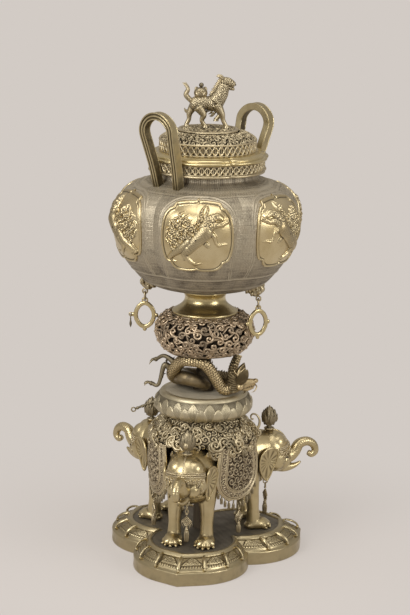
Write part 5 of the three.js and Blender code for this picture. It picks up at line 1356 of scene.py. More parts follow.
@dataclass
class Lotus:
    """Cloud-scroll collar with its hook, and the lotus cushion with the rod at its side."""

    scrolls: int = 124
    hook_az: float = 96.0

    def collar(self) -> Shape:
        """Return the collar's core under layered scrolls and leaves."""
        rows = spline([(98, 239.9), (101, 247), (95, 258), (82, 270), (74, 280), (72, 286.5)], 50)
        az = turns(620)
        base = polar(rows[:, :1], az[None, :], rows[:, 1:2])
        u = rad(az)[None, :] * 88 + 0 * rows[:, :1]
        v = 0 * az[None, :] + np.linspace(0, 56, len(rows))[:, None]
        ridge, _ = cloud_scrolls(u, v, 13, 2 * math.pi * 88, 5.4, 21)
        made = Shape().grid(base, 3.4 * ridge - 1, 0.15 + 0.6 * ridge)
        rng = np.random.default_rng(5)
        profile = np.array([(103, 241), (104, 248), (97, 259), (84, 271), (76, 281)], float)
        for k in range(self.scrolls):
            spot_az = 360 * k / self.scrolls * 5 % 360 + rng.uniform(-6, 6)
            t = rng.uniform(-0.32, 1)
            r, z = (float(np.interp(t, np.linspace(0, 1, 5), column)) for column in profile.T)
            z += 60 * min(t, 0)
            slope = UP * 0.75 + polar(-0.65, spot_az, 0) * min(1.0, 2 * t)
            slope = slope / np.linalg.norm(slope)
            across = polar(1, spot_az + 90, 0)
            size = rng.uniform(6.5, 12.0)
            hand = rng.choice([-1.0, 1.0])
            start = rng.uniform(0, 360)
            curl = spiral(polar(r + 1.0, spot_az, z), across, slope, size, 1.35, start, hand, 1.5)
            a = rad(start)
            tail = curl[0] + size * (-math.sin(a) * across + math.cos(a) * slope) * -hand * 1.5
            made.tube([tail - polar(2.2, spot_az, 0), *curl], [1.2, 3.4, 3.2, 2.8, 2.4, 2.8], 8, 36,
                      wear_and_shade=rng.uniform(0.45, 0.8), flat=0.9)
        return made

    def hook(self) -> Shape:
        """Return the C-scroll that stands up at the side, with its leaves."""
        made = Shape()
        across = polar(1, self.hook_az, 0)
        base = polar(101, self.hook_az, 268)
        points = [(-8, -24), (2, -16), (9, -6), (10, 6), (5, 15), (-2, 18), (-7, 14), (-6, 8), (-2, 7)]
        radii = [4.6, 4.2, 3.6, 3.2, 2.8, 2.4, 2.1, 2.0, 2.2]
        made.tube([base + a * across + b * UP for a, b in points], radii, 10, 60, wear_and_shade=0.75, flat=0.8)
        for a, b, size, hand, start in ((0, -10, 8, 1, 200), (-8, -2, 7, -1, 20), (7, -20, 7, -1, 90)):
            spot = base + a * across + b * UP + polar(3, self.hook_az - 90, 0)
            curl = spiral(spot, across, UP, size, 1.4, start, hand, 1.5)
            made.tube(curl, [2.4, 2.2, 1.8], 8, 34, wear_and_shade=0.65)
        return made

    def cushion(self) -> Shape:
        """Return the rounded cushion with petals in low relief under a smooth top."""
        side = [(66, 0.2), (70, 0.4), (82, 2.6), (91, 9), (94.5, 18), (93.5, 27), (90, 34), (86, 38.5)]
        side = spline(side, 120)
        az = turns(900)
        base = polar(side[:, :1], az[None, :], LOTUS_BOTTOM + side[:, 1:2])
        v = np.linspace(0, 1, len(side))[:, None] + 0 * az[None, :]
        height = np.zeros(v.shape)
        for shift, low, top, gain in ((0.0, 0.1, 0.8, 1.0), (0.5, 0.3, 0.97, 0.6)):
            x = ((az[None, :] / 360 * 18 + shift) % 1 * 2 - 1) + 0 * v
            y = np.clip((v - low) / (top - low), 0, 1)
            half = 0.95 * np.sqrt(np.clip(np.sin(math.pi * (0.5 + 0.5 * y)), 0, 1))
            inside = smooth_step(0, 0.12, half - abs(x)) * (v > low) * (v < top)
            vein = 0.25 * np.cos(x * 16) * (1 - y)
            height = np.maximum(height, gain * inside * (1.5 + 0.8 * y + vein))
        dots = 0.25 * np.sin(rad(az)[None, :] * 150) * np.sin(v * 130)
        height = height + dots * smooth_step(0.12, 0.2, v)
        made = Shape().grid(base, height, np.clip(0.26 + 0.2 * height + 0.6 * dots, 0, 1))
        top = [(86, 38.5), (85.4, 40.6), (84, 42.8), (81.5, 45.0), (78, 46.0), (74, 45.4)]
        return made.lathe([(r, LOTUS_BOTTOM + z) for r, z in spline(top, 24)], 160, 0.55)

    def dish(self) -> Shape:
        """Return the cushion's flat top with its dull patina."""
        top = [(78.4, 45.7), (74, 45.4), (60, 45.0), (40, 44.8), (20, 44.8), (14, 44.8)]
        return Shape().lathe([(r, LOTUS_BOTTOM + z) for r, z in spline(top, 20)], 160, 0.5)

    def rod(self) -> Shape:
        """Return the slim rod at the side with the eyelet at its end."""
        az = -78.0
        low, high = polar(132, az, 289.2), polar(88, az, 307)
        made = Shape().tube([high, 0.5 * (low + high) + [0, 0, 0.6], low], [3.2, 2.4, 2.1], 10, 20, wear_and_shade=0.5)
        for t in (0.2, 0.45, 0.7, 0.92):
            made.ball(high + t * (low - high), 3.2, 12)
        centre = low + (low - high) / np.linalg.norm(low - high) * 4.6
        return made.tube(hoop(centre, 4.0, 4.0, across=UP, upward=polar(1, az, 0)), [1.3], 8, 28, True, 0.7)

    def build(self) -> None:
        """Make the collar, the hook, the cushion and the rod."""
        put("collar_scrolls", self.collar(), CAST, nodes=["scroll_collar"])
        put("collar_hook", self.hook(), CAST)
        put("cushion_skin", self.cushion(), LOTUS, nodes=["lotus_cushion"])
        put("cushion_dish", self.dish(), DISH)
        put("cushion_rod", self.rod(), DARK)


@dataclass
class Dragon:
    """Dragon that coils round the upper stem, with scales, spikes, claws and an open-mouthed head."""

    turn: float = 12.0
    low: float = 342.6
    high: float = 402.0
    radius: float = 10.6
    coil: float = 55.0
    head: float = 42.0
    scale_length: float = 4.8
    scales_round: int = 14
    plate_length: float = 4.2

    def spot(self, az: float, height: float, share: float = 1.0) -> Array:
        """Return a place of the coil by azimuth, share of its rise and share of its radius."""
        return polar(share * self.coil, az, self.low + (self.high - self.low) * height)

    def path(self) -> list[Array]:
        """Return the places that the body goes through, from tail to neck."""
        rows = [(90, 1, 1.2), (82, 0.6, 1.05), (84, 0.25, 1), (115, 0.08, 1), (155, 0.02, 1),
                (-160, 0.02, 1), (-115, 0.05, 1), (-80, 0.4, 1.12), (-54, 0.87, 1), (-28, 0.98, 1),
                (-1, 0.92, 1), (16, 0.62, 1), (29, 0.26, 1.04), (38, 0.04, 1.1), (46, 0.03, 1.22)]
        return [self.spot(*row) for row in rows]

    def body(self) -> Shape:
        """Return the scaled body with its ridge of spikes."""
        steps, sides = 520, 64
        line = spline(self.path(), steps)
        tangent = unit(np.gradient(line, axis=0))
        top = np.cross(unit(line * [1, 1, 0]), tangent)
        side = unit(np.cross(top * np.sign(top[:, 2:3] + TINY), tangent))
        top = np.cross(tangent, side)
        top *= np.sign(top[:, 2:3] + TINY)
        r = along([7, 9, 10.8, 11, 11, 11, 11, 11, 10.8, 10.4, 10], steps + 1)[:, None]
        a = turns(sides, math.tau)[None, :]
        base = (line[:, None] + (r * np.cos(a))[..., None] * top[:, None]
                + (r * np.sin(a))[..., None] * side[:, None])
        length = np.linspace(0, np.linalg.norm(np.diff(line, axis=0), axis=1).sum(), steps + 1)[:, None]
        row = length / self.scale_length
        column = a / math.tau * self.scales_round
        y = row - np.floor(row)
        x = (column + 0.5 * (np.floor(row) % 2)) % 1 * 2 - 1
        scale = smooth_step(0.0, 0.35, 1 - y - 0.55 * x**2) * (0.35 + 0.65 * (1 - abs(x)))
        belly = smooth_step(-0.72, -0.88, np.cos(a))
        plates = (0.5 + 0.5 * np.cos(length * 2 * math.pi / self.plate_length)) * belly
        scale = scale * (1 - belly)
        made = Shape().grid(base, 1.3 * scale + 0.7 * plates, 0.32 + 0.5 * scale + 0.3 * plates, flip=True)
        for k in range(14, steps - 6, 9):
            foot = line[k] + top[k] * r[k] * 0.85
            size = 5.2 + 1.6 * math.sin(k * 1.7)
            back = -tangent[k] * size * 0.7
            made.tube([foot, foot + top[k] * size * 0.6 + back * 0.3, foot + top[k] * size + back],
                      [2.2, 1.5, 0.3], 7, 6, flat=0.6, wear_and_shade=0.3)
        return made

    def leg(self, rows: Sequence[Point], claw_way: Point) -> Shape:
        """Return one leg with three claws.

        Args:
            rows: Its places as azimuth, share of the rise and share of the coil's radius.
            claw_way: Direction in which the claws point.

        Returns:
            The shape.
        """
        places = [self.spot(*row) for row in rows]
        made = Shape().tube(places, [7.5, 5.6, 4.2, 3.6, 3.4], 14, 26, wear_and_shade=0.55)
        way = np.asarray(claw_way, float) / np.linalg.norm(claw_way)
        across = np.cross(way, [0, 0, 1])
        across /= max(np.linalg.norm(across), TINY)
        end = places[-1]
        made.ball(end, 4.6, 14, 0.55)
        for spread in (-1, 0, 1):
            reach = way + 0.55 * spread * across
            claw = [end, end + 6 * reach + 2.4 * UP, end + 11 * reach + UP, end + 14 * reach - 3 * UP]
            made.tube(claw, [2.8, 2.2, 1.5, 0.3], 8, 12, wear_and_shade=0.7)
        made.tube([end, end - 5 * way + UP, end - 8 * way - 3 * UP], [2.4, 1.6, 0.3], 8, 8, wear_and_shade=0.7)
        for t in (0.25, 0.5):
            tuft = places[0] + (places[-1] - places[0]) * t
            hair = [tuft, tuft + 7 * UP - 3 * way, tuft + 9 * UP - 8 * way]
            made.tube(hair, [2.4, 1.5, 0.3], 7, 8, wear_and_shade=0.4)
        return made

    def face(self) -> Shape:
        """Return the head with its jaws, horns, ears, mane and whiskers."""
        line = self.path()
        end = line[-1]
        away = end - line[-2]
        away[2] = 2.0
        away /= np.linalg.norm(away)
        across = np.array([-away[1], away[0], 0.0])

        def at(a: float, rise: float, aside: float = 0.0) -> Array:
            """Return a place in shares of the head's length, from the end of the neck."""
            forward = away * (1.3 * self.radius + a * self.head)
            return end + forward + across * aside * self.head + [0, 0, rise * self.head]

        core = Shape()
        core.tube([at(-0.4, 0.0), at(0.0, 0.07), at(0.3, 0.16)], [9.5, 10.5, 10.5], 20, 10)
        core.ball(at(0.2, 0.16), (12, 12, 10), 24)
        core.tube([at(0.35, 0.14), at(0.6, 0.16), at(0.9, 0.13)], [10, 8.2, 6.2], 18, 10)
        core.ball(at(0.93, 0.19), (5.6, 5.6, 4.6), 16)
        core.tube([at(0.28, 0.0), at(0.55, -0.11), at(0.84, -0.09)], [6.5, 5, 3], 14, 8)
        for side in (-1, 1):
            core.ball(at(0.36, 0.26, side * 0.17), (5, 5, 4.4), 14)
            core.ball(at(0.93, 0.22, side * 0.09), (2.6, 2.6, 2.4), 10)
            core.ball(at(0.18, 0.08, side * 0.2), (7, 7, 6.5), 14)
        made = core.fused(1.0, 3)
        for side in (-1, 1):
            made.ball(at(0.46, 0.23, side * 0.2), 2.5, 12, 0.9)
            horn = [at(0.24, 0.3, side * 0.1), at(0.14, 0.55, side * 0.2), at(0.2, 0.8, side * 0.28),
                    at(0.42, 0.98, side * 0.3)]
            made.tube(horn, [3.4, 2.8, 2.0, 0.6], 10, 24, wear_and_shade=0.6)
            prong = [horn[1], at(-0.02, 0.68, side * 0.3), at(-0.02, 0.8, side * 0.34)]
            made.tube(prong, [2.2, 1.5, 0.4], 8, 12)
            s = np.linspace(0, 1, 22)[:, None]
            w = np.linspace(-1, 1, 15)[None, :]
            half = 9.5 * np.sin(math.pi * (0.1 + 0.9 * s)) ** 0.8
            start, tip = at(0.1, 0.2, side * 0.22), at(0.46, 0.98, side * 0.62)
            direction = tip - start
            wide = np.cross(direction, across * side)
            wide /= np.linalg.norm(wide)
            leaf = start + s[..., None] * direction + (half * w)[..., None] * wide
            bow = 4.0 * np.sin(math.pi * s) - 3.5 * w**2 * np.sin(math.pi * s)
            leaf = leaf + bow[..., None] * across * side
            vein = 0.7 * np.exp(-((w / 0.12) ** 2)) + 0.35 * np.cos((abs(w) * 9 - s * 14)) + 0 * s
            made.grid(leaf, vein, 0.5 + 0.4 * vein, False, flip=side < 0)
            made.grid(leaf, 1.4, 0.35, False, flip=side > 0)
            for k in range(7):
                root = at(0.0, -0.2 + 0.09 * k + 0.1, side * 0.2)
                lock = [root, root - away * 9 + across * side * 5 + [0, 0, 2 + k],
                        root - away * 17 + across * side * 4 + [0, 0, 5 + 1.5 * k]]
                made.tube(lock, [2.8, 2.2, 0.4], 8, 12, wear_and_shade=0.4)
            whisker = [at(0.85, 0.08, side * 0.12), at(0.95, 0.0, side * 0.3), at(0.85, -0.16, side * 0.42),
                       at(0.7, -0.2, side * 0.45)]
            made.tube(whisker, [1.5, 1.3, 1.1, 0.4], 8, 20)
            for a in 0.5 + 0.09 * np.arange(5):
                tooth = [at(a, 0.02, side * 0.11), at(a + 0.02, -0.07, side * 0.11)]
                made.tube(tooth, [1.2, 0.3], 6, 3, wear_and_shade=0.9)
        made.tube([at(0.4, -0.1), at(0.45, -0.24), at(0.36, -0.32)], [2.6, 2.0, 0.4], 8, 10, wear_and_shade=0.4)
        return made

    def build(self) -> None:
        """Make the body, the legs, the head and the curl round the stem."""
        put("dragon_scales", self.body().placed(self.turn), SCALE, nodes=["dragon_body"])
        legs = self.leg([(-80, 0.42, 1.12), (-82, 0.66, 1.4), (-80, 0.02, 1.62), (-85, 0.02, 1.86)],
                        polar(1, -85, 0))
        legs.merge(self.leg([(-66, 0.75, 1.05), (-84, 0.95, 1.4), (-90, 0.8, 1.7)], polar(1, -92, -0.5)))
        legs.merge(self.leg([(100, 0.2, 1.05), (96, 0.2, 1.35), (92, 0.08, 1.5)], polar(1, 92, 0)))
        put("dragon_legs", legs.placed(self.turn), DARK)
        put("dragon_face", self.face().placed(self.turn), SCALE, nodes=["dragon_head"])
        stem = [(21, 333.2), (19, 337), (15.5, 341), (14.4, 346), (14.4, 400), (16, 406), (22, 411)]
        shape = Shape().lathe(stem, 60, 0.3)
        ring = [polar(r, self.turn + az, z) for az, r, z in
                ((150, 30, 352), (-170, 38, 350), (-130, 44, 352), (-95, 47, 356),
                 (-60, 44, 360), (-30, 38, 358), (0, 30, 350), (20, 22, 344))]
        shape.tube(ring, [7, 12, 14.5, 15, 15, 14, 12, 8], 40, 140, wear_and_shade=0.48)
        put("dragon_drum", shape, COIL, nodes=["stem_tube_upper"])


@dataclass
class Globe:
    """Pierced globe of cloud heads and ribbons, and the polished foot above it."""

    curls: int = 190
    wire: float = 2.9
    side: tuple[Point, ...] = ((73, 0.035), (79, 0.07), (85, 0.15), (93.7, 0.33), (96.6, 0.54), (93.2, 0.74),
                               (84, 0.89), (74, 0.955), (64, 0.97))

    def spot(self, share: Array | float, az: Array | float) -> Array:
        """Return the middle of a wire that lies in the skin, at a share of the way up and an azimuth."""
        line = spline([(r, GLOBE_BOTTOM + up * (GLOBE_TOP - GLOBE_BOTTOM)) for r, up in self.side], 60)
        steps = np.linspace(0, 1, len(line))
        return polar(np.interp(share, steps, line[:, 0]) - self.wire, az, np.interp(share, steps, line[:, 1]))

    def openwork(self) -> Shape:
        """Return the pierced skin: wavy ribbons, curled cloud heads and a ring at each end."""
        made = Shape()
        az = turns(90)
        for k, level in enumerate(np.linspace(0.12, 0.88, 6)):
            wave = level + 0.055 * np.sin(rad(az) * (5 + k * 3 % 4) + 2.4 * k)
            wave = wave + 0.02 * np.sin(rad(az) * 13 + k)
            made.tube(self.spot(wave, az), [2.3], 8, 420, True, 0.5)
        for share, thick in ((0.0, 3.4), (0.99, 3.2)):
            made.tube(self.spot(share, az[::3]), [thick], 8, 160, True, 0.45)
        rng = np.random.default_rng(33)
        for k in range(self.curls):
            turn, share = k * 137.5 % 360, 0.05 + 0.9 * (k + 0.5) / self.curls
            centre = self.spot(share, turn)
            across = polar(1, turn + 90, 0)
            upward = self.spot(share + 0.02, turn) - self.spot(share - 0.02, turn)
            upward /= np.linalg.norm(upward)
            size, start, hand = rng.uniform(6.0, 9.5), rng.uniform(0, 360), rng.choice([-1.0, 1.0])
            curl = spiral(centre, across, upward, size, 1.15, start, hand, 2.6)
            a = rad(start)
            lead = -hand * size * (-math.sin(a) * across + math.cos(a) * upward)
            path = [curl[0] + 1.9 * lead, curl[0] + 0.9 * lead, *curl]
            radii = [1.2, 2.4, self.wire, 2.6, 2.4, 2.6]
            made.tube(path, radii, 8, 40, wear_and_shade=rng.uniform(0.42, 0.75), flat=0.85)
        return made

    def build(self) -> None:
        """Make the globe's openwork, a dark sheet inside it that paints the shade of its hollow, and the
        foot.
        """
        put("globe_openwork", self.openwork(), CLOUD, nodes=["pierced_globe"])
        # A dark sheet inside the openwork paints the shade of the globe's hollow.
        shade_sheet_profile = [(52, 413.4), (68, 414), (76, 420), (84.6, 435), (87.4, 452), (84.4, 468), (75, 480),
                  (60, 485)]
        put("globe_shade_sheet", Shape().lathe(spline(shade_sheet_profile, 40), 120, 0.1), SHADE_SHEET)
        foot = spline([(24, 487.2), (50, 487.2), (62.4, 487.4), (63.6, 489.2), (63.0, 491.4), (60, 492.6),
                       (56, 495.4), (48, 501), (42, 507.5), (39.4, 514), (39.6, 520), (42.5, 525),
                       (46.4, 528), (47.4, 530), (46.6, 532.8)], 150)
        put("foot_turning", Shape().lathe(foot, 180, 0.6), POLISHED, nodes=["foot_spool"])


@dataclass
class Fittings:
    """Handles, masks with their links and rings, and the fretted gallery round the neck."""

    handles: tuple[tuple[str, float, float], ...] = (("left", -34.0, 140.0), ("right", 146.4, 131.0))
    sunk: float = 20.0
    arch: float = 35.0
    foot_reach: float = 108.0
    flare: float = 38.0
    strap_half: tuple[float, float] = (7.4, 8.6)
    ring_half: tuple[float, float] = (17.5, 23.0)
    bar_half: tuple[float, float] = (4.2, 3.0)
    ring_drop: float = 47.4
    eye_reach: float = 27.7
    masks: tuple[tuple[str, float, float, float, float], ...] = (
        ("left", -90.0, 117.0, 40.0, 0.0), ("right", 72.0, 111.0, 38.0, 54.0))

    def handle(self, az: float, tall: float) -> Shape:
        """Return one ribbed strap handle.

        Args:
            az: Azimuth from the bowl's first lobe.
            tall: Its height above its sunk feet.

        Returns:
            The shape, placed on the bowl.
        """
        foot, top = SHOULDER_Z - self.sunk, self.arch
        straight = tall - top + 14
        left = [out(self.foot_reach + self.flare * s, -(23 + 12 * s), foot + u * straight) for s, u in
                ((0.0, 0.02), (0.16, 0.2), (0.4, 0.5), (0.68, 0.78), (0.9, 1.0))]
        spring = foot + straight
        arch = [out(self.foot_reach + self.flare * (0.9 + 0.1 * math.sin(a)), top * math.cos(a),
                    spring + top * math.sin(a)) for a in np.linspace(math.pi, 0, 9)[1:-1]]
        right = [(-x, y, z) for x, y, z in reversed(left)]
        path = spline([*left, *arch, *right], 190)
        tangent = unit(np.gradient(path, axis=0))
        deep = np.array([[0.0, -1.0, 0.0]])
        deep = unit(deep - np.sum(deep * tangent, axis=1, keepdims=True) * tangent)
        wide = np.cross(deep, tangent)
        section, edge, part = polygon([(-1, -1), (1, -1), (1, 1), (-1, 1)], 160)
        w, d = (section * self.strap_half).T
        groove = np.maximum(bead((part - 0.3) * 15, 1.7), bead((part - 0.7) * 15, 1.7)) * (edge == 2)
        hollow = smooth_step(0.5, 0.34, abs(part - 0.5)) * (edge % 2 == 1)
        soft = 1 - 0.07 * (abs(section[:, 0] * section[:, 1]) > 0.8)
        base = (path[:, None] + (w * (1 - 0.16 * hollow) * soft)[None, :, None] * wide[:, None]
                + (d * (1 - 0.3 * groove) * soft)[None, :, None] * deep[:, None])
        # Painted shade: the channel on the inner side of the arch is made much darker and the one on its
        # outer side a little darker; the groove is darkened too, the strap is made darker towards its feet
        # and lighter on its face towards the bowl.
        wear_and_shade = np.clip(0.62 - 0.6 * groove - 0.3 * hollow * (edge == 3) - 0.12 * hollow * (edge == 1)
                       + 0.2 * (edge == 0), 0.05, 0.9)
        low = smooth_step(SHOULDER_Z + 26, SHOULDER_Z - 2, path[:, 2])[:, None]
        made = Shape().grid(base, 0, np.clip(wear_and_shade[None, :] - 0.22 * low, 0, 1), flip=True)
        return made.placed(BOWL_TURN + az)

    def mask(self, reach: float, eye: float) -> Shape:
        """Return one curled beast mask with the wire eye that its link hangs on.

        Args:
            reach: Distance of the eye from the axis.
            eye: Height of the eye's middle.

        Returns:
            The shape, in the frame whose outward direction is -Y.
        """
        top = MASK_TOP
        core = Shape()
        core.tube([out(reach - 16, 0, top + 12), out(reach - 9, 0, top - 6), out(reach - 7, 0, eye + 21),
                   out(reach - 1, 0, eye + 7)], [15, 16, 14.5, 5], 22, 24)
        core.ball(out(reach, 0, eye + 13), (8.4, 7, 6), 16)
        core.ball(out(reach - 14, 0, eye + 18), (13, 11, 11), 20)
        core.ball(out(reach - 7, 0, eye + 12), (10, 9, 9), 18)
        nose = [out(reach - 2, 0, eye + 26), out(reach + 6, 0, eye + 20), out(reach + 5, 0, eye + 13)]
        core.tube(nose, [6, 5, 3.4], 12, 8)
        for side in (-1, 1):
            core.ball(out(reach, side * 8, top - 9), (6, 5.6, 5), 14)
            core.ball(out(reach - 7, side * 11, top + 1), (6, 7, 7.4), 14)
            core.ball(out(reach + 3, side * 5.6, eye + 14), (3.6, 3.8, 3.2), 12)
        made = core.fused(0.9, 3)
        for side in (-1, 1):
            made.ball(out(reach + 4.6, side * 8, top - 8.4), 2.5, 10, 0.9)
            for rise, reach_in, aside, size in ((4, -2, 9, 7.5), (-8, 14, 14, 7.5), (-14, 0, 11, 6.5),
                                                (-22, 19, 11, 7.0), (-3, -4, 5, 5.6), (12, -6, 12, 6.5),
                                                (-28, 10, 8, 6.0), (-20, -4, 6, 5.0)):
                spot = np.array(out(reach - reach_in, side * aside, top + rise))
                curl = spiral(spot, (side * 0.8, -0.6, 0), UP, size, 1.4, 60 + 8 * rise, side, 2.5)
                made.tube(curl, [2.6, 2.3, 1.7], 8, 28)
            made.tube([out(reach - 3, side * 4, top - 3), out(reach + 6, side * 8, top + 3),
                       out(reach + 5, side * 11, top + 12)], [3.2, 2.4, 0.5], 8, 14, wear_and_shade=0.7)
            made.tube([out(reach, side * 6, eye + 15), out(reach + 3, side * 11, eye + 19),
                       out(reach + 1, side * 13, eye + 27)], [2.4, 1.9, 0.4], 8, 14, wear_and_shade=0.6)
        return made.tube(hoop(out(reach, 0, eye), 4.6, 4.6, 12), [1.6], 10, 40, True)

    def ring(self, reach: float, eye: float, drop: bool) -> Shape:
        """Return one oval ring with its lobed edge, lugs and small eye, in the plane of X = 0.

        Args:
            reach: Distance of the ring's middle from the axis.
            eye: Height of the mask's eye.
            drop: Whether it has the small outer eye for a drop.

        Returns:
            The shape.
        """
        centre, (wide, high) = eye - self.ring_drop, self.ring_half
        made = Shape()
        a, s = turns(220, math.tau), turns(18, math.tau)
        lobes = 1 + 0.012 * np.cos(4 * a) + 0.006 * np.cos(16 * a)
        middle = np.stack([0 * a, -wide * np.sin(a) * lobes, high * np.cos(a) * lobes], 1)
        inward = unit(-np.stack([0 * a, -np.sin(a) / wide, np.cos(a) / high], 1))
        section = np.sign(np.cos(s)) * abs(np.cos(s)) ** 0.7 * self.bar_half[0]
        across = np.sign(np.sin(s)) * abs(np.sin(s)) ** 0.7 * self.bar_half[1]
        base = (middle[:, None] + section[None, :, None] * inward[:, None]
                + across[None, :, None] * np.array([1.0, 0, 0])) + np.array([0, -reach, centre])
        made.grid(base, 0, 0.6 + 0.15 * (abs(np.cos(s)) > 0.8), wrap_rows=True)
        made.tube(hoop(out(reach, 0, eye - 18.4), 4.8, 4.8, 12), [1.65], 10, 40, True)
        for y, z in ((-22.5, 0), (22.5, 0), (0, -28)):
            made.ball(out(reach + y, 0, centre + z), (2.6, 4.2, 4.4), 14, 0.7)
        if drop:
            made.tube(hoop(out(reach + self.eye_reach, 0, centre), 3.2, 3.2), [1.0], 8, 24, True)
        return made

    def drop(self) -> Shape:
        """Return the drop that hangs on the left ring, with its loop."""
        y, z = -self.eye_reach, -self.ring_drop - 0.2
        made = Shape().tube(hoop((0, y, z - 3.2), 3.0, 3.2, across=(1, 0, 0)), [0.95], 8, 22, True)
        drop = [(0.2, -26), (1.6, -23), (2.6, -19), (2.0, -14), (1.0, -11), (1.6, -9.5), (0.9, -7),
                (0.3, -6.2)]
        return made.merge(Shape().lathe([(r, z + up) for r, up in drop], 16, 0.5).placed(move=(0, y, 0)))

    def build(self) -> None:
        """Make the handles, the masks, the links, the rings and the gallery."""
        for name, az, tall in self.handles:
            put(f"handle_{name}_strap", self.handle(az, tall), RUBBED, nodes=[f"handle_{name}"])
        for name, az, reach, down, twist in self.masks:
            az, eye = BOWL_TURN + az, MASK_TOP - down
            spot = polar(reach, az, eye)
            put(f"mask_{name}_beast", self.mask(reach, eye).placed(az), CAST, nodes=[f"mask_{name}"])
            link, ring = f"link_{name}", f"ring_{name}"
            chain = Shape().tube(hoop((0, 0, -9.2), 5.9, 8.9, 12, (1, 0, 0)), [1.55], 10, 48, True)
            oval = self.ring(0, 0, name == "left")
            put(f"{link}_wire", chain.placed(az + twist / 2, spot), CAST, link, [link])
            put(f"{ring}_oval", oval.placed(az + twist, spot), POLISHED, ring, [ring])
        _, az, reach, down, _ = self.masks[0]
        hung = self.drop().placed(BOWL_TURN + az, polar(reach, BOWL_TURN + az, MASK_TOP - down))
        put("ring_drop_bead", hung, DARK, "ring_drop_left", ["ring_drop_left"])
        put("gallery_fret", Lid().gallery(), CAST, nodes=["rim_gallery"])


